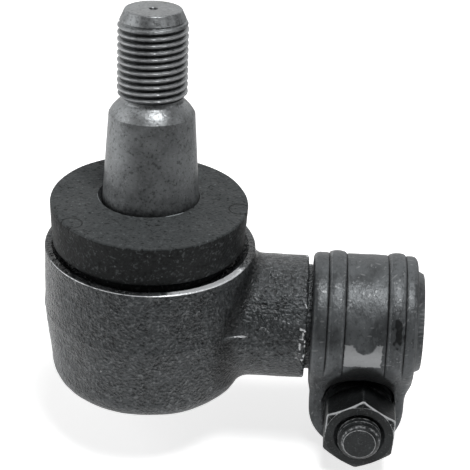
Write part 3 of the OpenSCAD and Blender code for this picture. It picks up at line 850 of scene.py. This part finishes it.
def build_bolt(p, clamp, material):
    """Hexagon bolt about its axis: chamfered head, plain shank and right-hand thread to the chamfered tip."""
    turn = round_turns(192)
    bolt_r = p.bolt_d/2
    tip = p.bolt_d/8
    _, end = bolt_stations(p, clamp)
    head = np.concatenate([np.linspace(0, 0.75*MM, 9), np.linspace(0.75*MM, p.head_h - 0.4*MM, 6)[1:]])
    sides = hexagon_radius(p, turn, 0)
    head_r, head_wear = chamfered(p, sides[None, :], head[:, None])
    face_r = np.linspace(0.2*MM, p.flats/2 - p.bite - 0.3*MM, 6)[:, None] + 0*turn
    washer_r = p.flats/2 - 0.25*MM
    thread_start = end - BOLT_THREAD
    shank = [(washer_r, -0.4*MM), (washer_r, -0.02*MM), (bolt_r, -0.01*MM), (bolt_r, thread_start)]
    steps = int((end - thread_start)/p.pitch*BOLT_ROWS)
    threaded = np.linspace(thread_start, end, steps)[1:]
    outer = np.minimum(bolt_r, bolt_r - tip + np.maximum(end - threaded, 0))
    cut = thread_cut(turn[None, :], threaded[:, None], p.pitch)
    fade = smooth(threaded, thread_start, thread_start + 2*p.pitch)[:, None]
    thread_r = np.minimum(outer[:, None], bolt_r - cut*fade)
    cap_r = np.linspace(bolt_r - tip - 0.25*MM, 0.2*MM, 6)
    radius = np.concatenate([face_r, head_r, np.array([r for r, _ in shank])[:, None] + 0*turn, thread_r,
                             cap_r[:, None] + 0*turn])
    along = np.concatenate([np.full(6, -p.head_h), head - p.head_h, [s for _, s in shank], threaded,
                            np.linspace(end + 0.06*MM, end + 0.08*MM, 6)])
    wear = np.zeros(radius.shape)
    first = len(face_r) + len(head) + len(shank)
    last = first + len(threaded)
    wear[first:last] = 0.5 - 1.4*cut/(THREAD_DEPTH*p.pitch)
    wear[last - 1] = 0.8
    wear[len(face_r):len(face_r) + len(head)] = np.maximum(0.5*corner_wear(turn, 0), 0.7*head_wear)
    piece = make_piece("clamp_bolt_threaded", turned(radius, along[:, None] + 0*turn, turn, bolt_axes(clamp)),
                       material, wear=wear, sharp=28)
    attach(piece, "housing", "black_oxide", "clamp_bolt")


def corner_wear(turn, first_corner):
    """1 along a hexagon's corners, falling to 0 on its flats."""
    off = np.abs(np.mod(turn - first_corner + HEX_TURN/2, HEX_TURN) - HEX_TURN/2)
    return bell(off, 0.03)


def build_nut(p, clamp, material):
    """Hexagon nut as a closed outline carried round the bolt: chamfered flats, end faces, countersunk mouth
    and a thread that follows the bolt's own helix."""
    turn = round_turns(192, p.nut_turn)
    seat, _ = bolt_stations(p, clamp)
    rise = np.linspace(0, 0.75*MM, 12)
    sides = np.concatenate([rise, np.linspace(0.75*MM, p.nut_h - 0.75*MM, 8)[1:-1], p.nut_h - rise[::-1]])
    flats = hexagon_radius(p, turn, p.nut_turn)
    side_r, edge_wear = chamfered(p, flats[None, :], np.minimum(sides, p.nut_h - sides)[:, None])
    bolt_r = p.bolt_d/2
    mouth = bolt_r + 0.75*MM
    minor = bolt_r - THREAD_DEPTH*p.pitch
    face = np.linspace(p.flats/2 - p.bite - 0.12*MM, mouth, 5)
    steps = int(p.nut_h/p.pitch*NUT_ROWS)
    depth = np.linspace(0, p.nut_h, steps)
    bore = bolt_r + 0.03*MM - thread_cut(turn[None, :], seat + depth[::-1, None], p.pitch)
    sink = np.maximum(mouth - depth*1.2, mouth - (p.nut_h - depth)*1.2)
    bore = np.maximum(bore, np.maximum(sink, minor)[:, None])
    radius = np.concatenate([side_r, face[:, None] + 0*turn, bore, face[::-1, None] + 0*turn])
    along = seat + np.concatenate([sides, np.full(5, p.nut_h), depth[::-1], np.full(5, 0.0)])
    wear = np.zeros(radius.shape)
    upper = smooth(np.sin(turn), -0.35, 0.45)
    front_half = (sides > p.nut_h/2)[:, None]
    edges = np.maximum(0.42*corner_wear(turn, p.nut_turn), edge_wear*np.where(front_half, 0.95, 0.3))
    # Upper edges brighter than lower ones, partly wear and partly painted highlight; the upper flats get
    # painted shade from the ring above them.
    wear[:len(sides)] = edges*(0.4 + 0.6*upper) - 0.85*smooth(np.sin(turn), 0.2, 0.7)*(edges < 0.2)
    wear[len(sides) - 1] = 0.35 + 0.3*upper
    piece = make_piece("clamp_nut_threaded", turned(radius, along[:, None] + 0*turn, turn, bolt_axes(clamp)),
                       material, closed_rows=True, wear=wear, sharp=28)
    attach(piece, "housing", "black_oxide", "clamp_nut")


# Materials

def add(tree, kind, inputs=None, **settings):
    """Adds a node with its settings, and links or sets its inputs."""
    node = tree.nodes.new(kind)
    for key, value in settings.items():
        setattr(node, key, value)
    for key, value in (inputs or {}).items():
        feed(tree, node.inputs[key], value)
    return node


def feed(tree, socket, value):
    """Links a socket to another one, or sets it to a plain value."""
    if isinstance(value, bpy.types.NodeSocket):
        tree.links.new(value, socket)
    else:
        socket.default_value = value


def math_node(tree, operation, first, second=0.0):
    """Output of one Math node."""
    return add(tree, "ShaderNodeMath", {0: first, 1: second}, operation=operation).outputs[0]


def times(tree, first, second):
    """Product of two values."""
    return math_node(tree, "MULTIPLY", first, second)


def plus(tree, first, second):
    """Sum of two values."""
    return math_node(tree, "ADD", first, second)


def minus(tree, first, second):
    """First value less the second."""
    return math_node(tree, "SUBTRACT", first, second)


def most(tree, first, second):
    """The larger of two values."""
    return math_node(tree, "MAXIMUM", first, second)


def window(tree, value, low, high):
    """0 below low and 1 above high, with a smooth step between."""
    node = add(tree, "ShaderNodeMapRange", {"Value": value, "From Min": low, "From Max": high},
               interpolation_type="SMOOTHSTEP")
    return node.outputs["Result"]


def mixed(tree, share, first, second):
    """Mix of two colours."""
    node = add(tree, "ShaderNodeMix", data_type="RGBA")
    for key, kind, value in (("Factor", "VALUE", share), ("A", "RGBA", first), ("B", "RGBA", second)):
        socket = next(s for s in node.inputs if s.name == key and s.type == kind)
        feed(tree, socket, (*value, 1) if isinstance(value, tuple) else value)
    return next(s for s in node.outputs if s.type == "RGBA")


def noise(tree, vector, scale, detail=3.0, roughness=0.55):
    """Value of a noise texture between 0 and 1."""
    return add(tree, "ShaderNodeTexNoise",
               {"Vector": vector, "Scale": scale, "Detail": detail, "Roughness": roughness}).outputs[0]


def stretched(tree, vector, stretch=(1, 1, 1), rotation=(0, 0, 0)):
    """Coordinates for a pattern that is drawn out along turned axes."""
    return add(tree, "ShaderNodeMapping", {"Vector": vector, "Scale": stretch, "Rotation": rotation},
               vector_type="TEXTURE").outputs[0]


def new_group(name, inputs, outputs):
    """Empty node group with its sockets; an input's default is a number, or None for a vector."""
    group = bpy.data.node_groups.new(name, "ShaderNodeTree")
    for label, default in inputs.items():
        kind = "NodeSocketVector" if default is None else "NodeSocketFloat"
        socket = group.interface.new_socket(label, in_out="INPUT", socket_type=kind)
        if default is not None:
            socket.default_value = default
    for label in outputs:
        group.interface.new_socket(label, in_out="OUTPUT", socket_type="NodeSocketFloat")
    return group, group.nodes.new("NodeGroupInput").outputs, group.nodes.new("NodeGroupOutput").inputs


def grain_group():
    """Rough skin: the height of a fine and a coarser grain added together, its peaks and its hollows,
    and a broad mottling, all but the height from 0 to 1."""
    group, ins, outs = new_group("steel_grain", {"Vector": None, "Scale": 2000.0},
                                 ("Height", "Peaks", "Hollows", "Mottle"))
    fine = noise(group, ins["Vector"], ins["Scale"], 2, 0.5)
    coarse = noise(group, ins["Vector"], times(group, ins["Scale"], 0.4), 2, 0.5)
    broad = noise(group, ins["Vector"], times(group, ins["Scale"], 0.09), 3, 0.6)
    both = plus(group, times(group, fine, 0.65), times(group, coarse, 0.35))
    group.links.new(both, outs["Height"])
    group.links.new(window(group, both, 0.53, 0.66), outs["Peaks"])
    group.links.new(window(group, both, 0.47, 0.34), outs["Hollows"])
    group.links.new(window(group, broad, 0.34, 0.66), outs["Mottle"])
    return group


def near_centres(group, vector, scale, radius):
    """1 within a radius of scattered centres, with a different radius at each centre, and 0 elsewhere."""
    cells = add(group, "ShaderNodeTexVoronoi", {"Vector": vector, "Scale": scale}, feature="F1")
    chance = add(group, "ShaderNodeSeparateColor", {"Color": cells.outputs["Color"]}).outputs[0]
    reach = times(group, radius, chance)
    return window(group, cells.outputs["Distance"], reach, times(group, reach, 0.5))


def fleck_group():
    """Small round flecks about scattered centres."""
    group, ins, outs = new_group("flecks", {"Vector": None, "Scale": 600.0, "Radius": 0.1}, ("Mask",))
    group.links.new(near_centres(group, ins["Vector"], ins["Scale"], ins["Radius"]), outs["Mask"])
    return group


def scratch_group():
    """Short straight scratches: flecks drawn out to thin lines, in four directions."""
    inputs = {"Vector": None, "Scale": 1300.0, "Width": 0.09}
    group, ins, outs = new_group("fine_scratches", inputs, ("Mask",))
    total = None
    for turn in ((0.5, 0.3, 0), (-0.6, 0.9, 0), (1.3, -0.4, 0), (0.9, 1.2, 0.5)):
        drawn = stretched(group, ins["Vector"], (1, 1, 14), turn)
        line = near_centres(group, drawn, ins["Scale"], ins["Width"])
        total = line if total is None else most(group, total, line)
    group.links.new(total, outs["Mask"])
    return group


def wear_and_light_group():
    """Rubbed edges and painted light from the piece's own values: bright where they are high, for worn steel
    and painted highlights, and dark where they are below 0, for dirt and painted shade."""
    group, ins, outs = new_group("rubbed_edges", {"Vector": None, "Wear": 0.0, "Scale": 1500.0},
                                 ("Bright", "Dirt"))
    breakup = minus(group, noise(group, ins["Vector"], ins["Scale"], 3, 0.6), 0.5)
    # The bright mask holds worn steel and painted highlights; the dark mask holds dirt and painted shade.
    rubbed = plus(group, ins["Wear"], times(group, breakup, 0.9))
    group.links.new(window(group, rubbed, 0.35, 0.85), outs["Bright"])
    dirt_and_shade = minus(group, times(group, breakup, 0.6), ins["Wear"])
    group.links.new(window(group, dirt_and_shade, 0.1, 0.8), outs["Dirt"])
    return group


class Shade:
    """A new material with its shader, object coordinates and the piece's values of wear and painted light."""

    def __init__(self, name, metallic, specular=0.5):
        self.material = bpy.data.materials.new(name)
        self.material.use_nodes = True
        self.tree = self.material.node_tree
        self.shader = self.tree.nodes["Principled BSDF"]
        self.shader.inputs["Metallic"].default_value = metallic
        self.shader.inputs["Specular IOR Level"].default_value = specular
        self.place = add(self.tree, "ShaderNodeTexCoord").outputs["Object"]
        self.wear = add(self.tree, "ShaderNodeAttribute", attribute_name="wear").outputs["Fac"]

    def use(self, group, place=None, **values):
        """Places a node group, on object coordinates unless a place is given, and gives its outputs."""
        inputs = {"Vector": self.place if place is None else place, **values}
        return add(self.tree, "ShaderNodeGroup", inputs, node_tree=group).outputs

    def between(self, share, colour, low, high):
        """The colour made darker or lighter, from low to high times its own level."""
        return mixed(self.tree, share, tuple(low*c for c in colour), tuple(high*c for c in colour))

    def over(self, base, mask, amount, colour, level=1.0):
        """A colour laid over another where the mask is high."""
        share = times(self.tree, mask, amount)
        return mixed(self.tree, share, base, tuple(level*c for c in colour))

    def layers(self, base, *rows):
        """Colours laid in turn over a base; each row is a mask, an amount, a colour and its level."""
        for row in rows:
            base = self.over(base, *row)
        return base

    def finish(self, colour, roughness, height, depth):
        """Links colour, roughness and a bump of the given depth in metres, and gives the material."""
        tree, shader = self.tree, self.shader
        tree.links.new(colour, shader.inputs["Base Color"])
        tree.links.new(roughness, shader.inputs["Roughness"])
        bump = add(tree, "ShaderNodeBump", {"Height": height, "Distance": depth, "Strength": 1.0})
        tree.links.new(bump.outputs["Normal"], shader.inputs["Normal"])
        return self.material


def spread(tree, value, low, high):
    """A value between 0 and 1 carried to the range from low to high."""
    return plus(tree, times(tree, value, high - low), low)


def forged_material(groups, f):
    """Dark forged skin: pitted grain, scratches, bright dings, a turned rim with painted highlights, and
    painted shade in the corners and under the boot.
    """
    s = Shade("forged_skin", 0.4, 0.5)
    tree = s.tree
    grain = s.use(groups["grain"], Scale=1900.0)
    lines = s.use(groups["scratch"], Scale=600.0, Width=0.14)
    dings = s.use(groups["fleck"], Scale=300.0, Radius=0.08)
    wear_light_masks = s.use(groups["wear"], Wear=s.wear, Scale=1100.0)
    colour = s.layers(
        s.between(grain["Mottle"], f.forged, 0.75, 1.15),
        (grain["Hollows"], 0.95, f.forged, 0.15),
        (grain["Peaks"], 0.9, f.forged_light),
        (lines["Mask"], 0.4, f.forged_light),
        (dings["Mask"], 0.9, f.bare),
        (wear_light_masks["Dirt"], 0.85, f.forged, 0.15),
        (wear_light_masks["Bright"], 1.0, f.bare, 1.7))
    rough = spread(tree, grain["Mottle"], 0.2, 0.36)
    calm = spread(tree, wear_light_masks["Bright"], 1.0, 0.2)
    height = times(tree, grain["Height"], calm)
    return s.finish(colour, rough, height, 0.75*MM)


def clamp_material(groups, f):
    """Oiled clamp steel: streaks that run round the ring, scratches, a rubbed patch, a stain, painted
    highlights along the beads and painted shade in the grooves and round the nut.
    """
    s = Shade("clamp_steel", 0.5, 0.4)
    tree = s.tree
    round_ring = stretched(tree, s.place, (1, 1.5, 1.5))
    grain = s.use(groups["grain"], round_ring, Scale=2000.0)
    lines = s.use(groups["scratch"], Scale=900.0, Width=0.25)
    flecks = s.use(groups["fleck"], Scale=700.0, Radius=0.16)
    wear_light_masks = s.use(groups["wear"], Wear=s.wear, Scale=1300.0)
    patch = bare_patch(tree, s.place, noise(tree, s.place, 900.0, 3))
    colour = s.layers(
        s.between(grain["Mottle"], f.clamp, 0.65, 1.2),
        (grain["Hollows"], 0.55, f.clamp, 0.4),
        (grain["Peaks"], 0.4, f.forged_light),
        (flecks["Mask"], 0.25, f.forged_light, 1.5),
        (lines["Mask"], 0.25, f.bare),
        # Worn edges and painted highlights along the beads, then dirt and painted shade.
        (wear_light_masks["Bright"], 0.6, f.forged_light, 1.6),
        (wear_light_masks["Dirt"], 0.9, f.clamp, 0.12),
        (patch, 0.85, f.bare, 0.9))
    rough = spread(tree, grain["Mottle"], 0.4, 0.52)
    return s.finish(colour, rough, grain["Height"], 0.16*MM)


def bare_patch(tree, place, edge):
    """Mask of the rubbed patch on the flat band's front: a box in length and height, less a round notch."""
    axes = add(tree, "ShaderNodeSeparateXYZ", {"Vector": place}).outputs
    wobble = times(tree, minus(tree, edge, 0.5), 0.9*MM)
    x = plus(tree, axes["X"], wobble)
    z = plus(tree, axes["Z"], wobble)
    soft = 0.15*MM
    mask = window(tree, axes["Y"], -8*MM, -9*MM)
    squares = []
    for value, (low, high), centre, radius in zip((x, z), (PATCH_X, PATCH_Z), NOTCH_AT, NOTCH_R):
        mask = times(tree, mask, window(tree, value, low - soft, low + soft))
        mask = times(tree, mask, window(tree, value, high + soft, high - soft))
        share = math_node(tree, "DIVIDE", minus(tree, value, centre), radius)
        squares.append(math_node(tree, "POWER", share, 2.0))
    notch = window(tree, plus(tree, *squares), 0.8, 1.15)
    return times(tree, mask, notch)


def stud_material(groups, f):
    """Turned steel: fine turning lines, stains, dark pits and specks, bright thread crests and dark roots, and
    painted shade near the boot and in the dimple.
    """
    s = Shade("stud_steel", 0.7, 0.45)
    tree = s.tree
    lean = tuple(Vector(STUD_AXIS).to_track_quat("Z", "Y").to_euler())
    grain = s.use(groups["grain"], Scale=2000.0)
    lines = s.use(groups["scratch"], Scale=420.0, Width=0.12)
    pits = s.use(groups["fleck"], Scale=900.0, Radius=0.22)
    specks = s.use(groups["fleck"], Scale=1900.0, Radius=0.42)
    wear_light_masks = s.use(groups["wear"], Wear=s.wear, Scale=1500.0)
    rings = noise(tree, stretched(tree, s.place, (20, 20, 1), lean), 5200.0, 2)
    colour = s.layers(
        s.between(grain["Mottle"], f.stud, 0.7, 1.05),
        (grain["Hollows"], 0.55, f.stud_dark),
        (grain["Peaks"], 0.5, f.stud, 1.3),
        (specks["Mask"], 0.4, f.stud_dark),
        (pits["Mask"], 0.5, f.stud_dark, 0.7),
        (lines["Mask"], 0.35, f.bare),
        (wear_light_masks["Bright"], 0.7, f.bare),
        (wear_light_masks["Dirt"], 0.92, f.stud_dark, 0.4))
    rough = spread(tree, grain["Mottle"], 0.34, 0.46)
    height = plus(tree, grain["Height"], times(tree, rings, 0.15))
    return s.finish(colour, rough, height, 0.07*MM)


def oxide_material(groups, f):
    """Black oxide with rubbed bright edges, brighter on top as a painted highlight, and upper flats darkened
    by painted shade.
    """
    s = Shade("oxide_skin", 0.15, 0.22)
    tree = s.tree
    grain = s.use(groups["grain"], Scale=2300.0)
    flecks = s.use(groups["fleck"], Scale=900.0, Radius=0.13)
    wear_light_masks = s.use(groups["wear"], Wear=s.wear, Scale=1800.0)
    colour = s.layers(
        s.between(grain["Mottle"], f.oxide, 0.7, 1.4),
        (grain["Peaks"], 0.25, f.forged_light),
        (flecks["Mask"], 0.5, f.forged_light),
        (wear_light_masks["Dirt"], 0.7, f.oxide, 0.3),
        (wear_light_masks["Bright"], 0.9, f.bare, 1.3))
    rough = spread(tree, grain["Mottle"], 0.34, 0.46)
    return s.finish(colour, rough, grain["Height"], 0.12*MM)


def rubber_material(groups, f):
    """Matte black rubber with a fine pebbled skin, a top lighter than its sides from dust and painted light,
    painted highlights on the top edge, pale flecks and two moulding marks.
    """
    s = Shade("rubber_skin", 0.0, 0.2)
    tree = s.tree
    grain = s.use(groups["grain"], Scale=2000.0)
    flecks = s.use(groups["fleck"], Scale=800.0, Radius=0.22)
    # Lighter on the top and darker on the sides: dust and painted light on the top, painted shade on the
    # sides.
    dust = window(tree, s.wear, -0.8, -0.2)
    marks = moulding_marks(tree, s.place)
    colour = s.layers(
        s.between(dust, f.rubber, 0.5, 1.45),
        (grain["Hollows"], 0.9, f.rubber, 0.2),
        (grain["Peaks"], 0.6, f.rubber, 2.7),
        (flecks["Mask"], 0.5, f.rubber, 5.0),
        (marks, 0.85, f.rubber, 0.2),
        # Painted highlights on the top edge.
        (window(tree, s.wear, 0.3, 0.7), 0.8, f.rubber, 9.0))
    rough = spread(tree, grain["Mottle"], 0.55, 0.7)
    relief = minus(tree, grain["Height"], times(tree, marks, 0.3))
    return s.finish(colour, rough, relief, 0.25*MM)


def moulding_marks(tree, place):
    """Mask of two thin circles on the boot's top, each at a set distance from its own centre."""
    axes = add(tree, "ShaderNodeSeparateXYZ", {"Vector": place}).outputs
    on_top = window(tree, axes["Z"], 21.5*MM, 22*MM)
    total = None
    for x, y in MARKS:
        across = minus(tree, axes["X"], x)
        along = minus(tree, axes["Y"], y)
        square = plus(tree, times(tree, across, across),
                           times(tree, along, along))
        off = math_node(tree, "ABSOLUTE", minus(tree, math_node(tree, "SQRT", square), MARK_R))
        line = window(tree, off, 0.2*MM, 0.08*MM)
        total = line if total is None else most(tree, total, line)
    return times(tree, total, on_top)


def seat_material(groups, f):
    """Hardened, ground steel of the hidden seats, the spring and the cover."""
    s = Shade("ground_steel", 0.9)
    tree = s.tree
    grain = s.use(groups["grain"], Scale=2200.0)
    pits = s.use(groups["fleck"], Scale=700.0, Radius=0.2)
    colour = s.layers(
        s.between(grain["Mottle"], f.seat, 0.7, 1.0),
        (pits["Mask"], 0.5, f.stud_dark))
    rough = spread(tree, grain["Mottle"], 0.32, 0.46)
    return s.finish(colour, rough, grain["Height"], 0.02*MM)


def material(name):
    """One of the materials, made the first time that it is asked for."""
    if name not in bpy.data.materials:
        makers = {"forged_skin": forged_material, "clamp_steel": clamp_material, "stud_steel": stud_material,
                  "oxide_skin": oxide_material, "rubber_skin": rubber_material, "ground_steel": seat_material}
        group_makers = {"grain": ("steel_grain", grain_group), "fleck": ("flecks", fleck_group),
                        "scratch": ("fine_scratches", scratch_group), "wear": ("rubbed_edges", wear_and_light_group)}
        groups = {key: bpy.data.node_groups.get(label) or make()
                  for key, (label, make) in group_makers.items()}
        makers[name](groups, bpy.context.scene.joint_finishes)
    return bpy.data.materials[name]


# Stage

def place_axes(tree):
    """X, Y and Z of the object coordinates."""
    place = add(tree, "ShaderNodeTexCoord").outputs["Object"]
    return add(tree, "ShaderNodeSeparateXYZ", {"Vector": place}).outputs


def build_floor(lowest, f):
    """Pale floor under the part: white to the camera. Reflections see it pale on the left and behind the part
    and dark to the front and the right, and it keeps the part's own soft shadow."""
    reach = 1.5
    steps = np.linspace(-reach, reach, 3)
    x, y = np.meshgrid(steps, steps)
    points = np.stack([x, y, np.full_like(x, lowest)], axis=-1).reshape(-1, 3)
    corners = np.array([[r*3 + c, r*3 + c + 1, r*3 + c + 4, r*3 + c + 3] for r in (0, 1) for c in (0, 1)])
    mesh = bpy.data.meshes.new("studio_floor")
    mesh.from_pydata(points.tolist(), [], corners.tolist())
    paint = bpy.data.materials.new("studio_floor")
    paint.use_nodes = True
    tree = paint.node_tree
    shader = tree.nodes["Principled BSDF"]
    shader.inputs["Roughness"].default_value = 0.9
    shader.inputs["Specular IOR Level"].default_value = 0.0
    rays = add(tree, "ShaderNodeLightPath").outputs
    way = place_axes(tree)
    far_right = times(tree, window(tree, way["X"], 0.05, 0.1), 0.75)
    far = most(tree, window(tree, way["Y"], -0.035, -0.08), far_right)
    dim = times(tree, rays["Is Glossy Ray"], far)
    tree.links.new(mixed(tree, dim, tuple(f.floor), (0.08, 0.08, 0.08)), shader.inputs["Base Color"])
    shiny = times(tree, rays["Is Glossy Ray"], spread(tree, dim, 0.45, 0.05))
    lit = plus(tree, times(tree, rays["Is Camera Ray"], 0.72), shiny)
    glow = add(tree, "ShaderNodeEmission", {"Color": (1, 1, 1, 1), "Strength": lit})
    both = add(tree, "ShaderNodeAddShader", {0: shader.outputs[0], 1: glow.outputs[0]})
    tree.links.new(both.outputs[0], tree.nodes["Material Output"].inputs["Surface"])
    mesh.materials.append(paint)
    floor = bpy.data.objects.new("studio_floor", mesh)
    bpy.context.scene.collection.objects.link(floor)
    floor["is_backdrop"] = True


def build_world(ambient):
    """White room to the camera. To the other rays it is white behind the part and on its left, and dark in
    front of it."""
    world = bpy.data.worlds.new("studio_room")
    bpy.context.scene.world = world
    world.use_nodes = True
    tree = world.node_tree
    rays = add(tree, "ShaderNodeLightPath").outputs
    way = place_axes(tree)
    back_left = minus(tree, times(tree, way["Y"], 0.87),
                          times(tree, way["X"], 0.5))
    behind = spread(tree, window(tree, back_left, -0.15, 0.5), 0.06, 1.0)
    seen = most(tree, rays["Is Camera Ray"], rays["Is Transmission Ray"])
    shiny = times(tree, rays["Is Glossy Ray"], behind)
    plain = times(tree, behind, ambient)
    level = most(tree, most(tree, seen, shiny), plain)
    back = tree.nodes["Background"]
    back.inputs["Color"].default_value = (1, 1, 1, 1)
    tree.links.new(level, back.inputs["Strength"])


def softbox(name, place, aim, width, power):
    """Square area lamp at a place, turned to face the aim."""
    lamp = bpy.data.lights.new(name, "AREA")
    lamp.shape = "SQUARE"
    lamp.size = width
    lamp.energy = power
    holder = bpy.data.objects.new(name, lamp)
    holder.location = place
    holder.rotation_euler = (Vector(aim) - Vector(place)).to_track_quat("-Z", "Y").to_euler()
    bpy.context.scene.collection.objects.link(holder)


def build_camera(p):
    """Camera from its place and three angles: azimuth about the vertical, elevation down and roll."""
    forward = Vector((-math.sin(p.azimuth)*math.cos(p.elevation), math.cos(p.azimuth)*math.cos(p.elevation),
                      -math.sin(p.elevation)))
    level = forward.cross(Vector((0, 0, 1))).normalized()
    upright = level.cross(forward)
    right = math.cos(p.roll)*level + math.sin(p.roll)*upright
    up = -math.sin(p.roll)*level + math.cos(p.roll)*upright
    turn = Matrix((right, up, -forward)).transposed().to_4x4()
    eye = bpy.data.cameras.new("studio_camera")
    eye.sensor_width = 36
    eye.lens = p.lens
    eye.clip_start = 0.01
    holder = bpy.data.objects.new("studio_camera", eye)
    holder.matrix_world = Matrix.Translation(p.camera) @ turn
    bpy.context.scene.collection.objects.link(holder)
    bpy.context.scene.camera = holder


# Operators

class BuildStud(bpy.types.Operator):
    """Turns the ball stud with its thread"""
    bl_idname = "ball_joint.build_stud"
    bl_label = "Ball stud"

    def execute(self, context):
        build_stud(context.scene.joint_stud, material("stud_steel"))
        return {"FINISHED"}


class BuildBoot(bpy.types.Operator):
    """Moulds the rubber boot round the stud"""
    bl_idname = "ball_joint.build_boot"
    bl_label = "Dust boot"

    def execute(self, context):
        build_boot(context.scene.joint_boot, context.scene.joint_stud, material("rubber_skin"))
        return {"FINISHED"}


class BuildHousing(bpy.types.Operator):
    """Forges the cup and shank and threads the slotted sleeve"""
    bl_idname = "ball_joint.build_housing"
    bl_label = "Housing"

    def execute(self, context):
        sizes = context.scene.joint_housing
        build_cup(sizes, material("forged_skin"))
        build_shank(sizes, material("forged_skin"))
        build_sleeve(sizes, material("clamp_steel"))
        return {"FINISHED"}


class BuildClamp(bpy.types.Operator):
    """Shapes the beaded ring clamp with its ears"""
    bl_idname = "ball_joint.build_clamp"
    bl_label = "Clamp"

    def execute(self, context):
        build_clamp(context.scene.joint_clamp, context.scene.joint_fasteners, material("clamp_steel"))
        return {"FINISHED"}


class BuildFasteners(bpy.types.Operator):
    """Makes the clamp bolt and its nut"""
    bl_idname = "ball_joint.build_fasteners"
    bl_label = "Bolt and nut"

    def execute(self, context):
        for build in (build_bolt, build_nut):
            build(context.scene.joint_fasteners, context.scene.joint_clamp, material("oxide_skin"))
        return {"FINISHED"}


class DressNodes(bpy.types.Operator):
    """Gives the plain inner pieces and the lock washer their finish"""
    bl_idname = "ball_joint.dress_nodes"
    bl_label = "Inner pieces"

    def execute(self, context):
        ground = ("upper_seat", "lower_seat", "preload_spring", "cover_plate")
        finishes = {**dict.fromkeys(ground, "ground_steel"), "lock_washer": "oxide_skin"}
        for node, finish in finishes.items():
            slots = frame["nodes"][node].data.materials
            slots.clear()
            slots.append(material(finish))
        return {"FINISHED"}


class SetStage(bpy.types.Operator):
    """Sets the floor, the lamps, the room and the camera"""
    bl_idname = "ball_joint.set_stage"
    bl_label = "Studio"

    def execute(self, context):
        settings = context.scene.joint_stage
        low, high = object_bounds()
        aim = (low + high)/2
        build_floor(low.z, context.scene.joint_finishes)
        build_world(settings.ambient)
        for name, (place, width) in SOFTBOXES.items():
            softbox(name + "_softbox", place, aim, width, getattr(settings, name))
        build_camera(settings)
        context.scene.view_settings.view_transform = "Standard"
        return {"FINISHED"}


class BallJointPanel(bpy.types.Panel):
    """Sidebar panel that lists the building steps"""
    bl_idname = "VIEW3D_PT_ball_joint"
    bl_label = "Ball Joint"
    bl_space_type = "VIEW_3D"
    bl_region_type = "UI"
    bl_category = "Ball Joint"

    def draw(self, context):
        for step in STEPS:
            self.layout.operator(step.bl_idname)


STEPS = (BuildStud, BuildBoot, BuildHousing, BuildClamp, BuildFasteners, DressNodes, SetStage)


def register():
    """Registers the size groups, the operators and the panel."""
    for name, group in GROUPS.items():
        bpy.utils.register_class(group)
        setattr(bpy.types.Scene, name, bpy.props.PointerProperty(type=group))
    for item in (*STEPS, BallJointPanel):
        bpy.utils.register_class(item)


def unregister():
    """Takes the panel, the operators and the size groups away again."""
    for item in reversed((*STEPS, BallJointPanel)):
        bpy.utils.unregister_class(item)
    for name, group in reversed(GROUPS.items()):
        delattr(bpy.types.Scene, name)
        bpy.utils.unregister_class(group)


def main():
    """Builds every piece and the studio."""
    register()
    for step in STEPS:
        space, call = step.bl_idname.split(".")
        getattr(getattr(bpy.ops, space), call)()


if __name__ == "__main__":
    main()
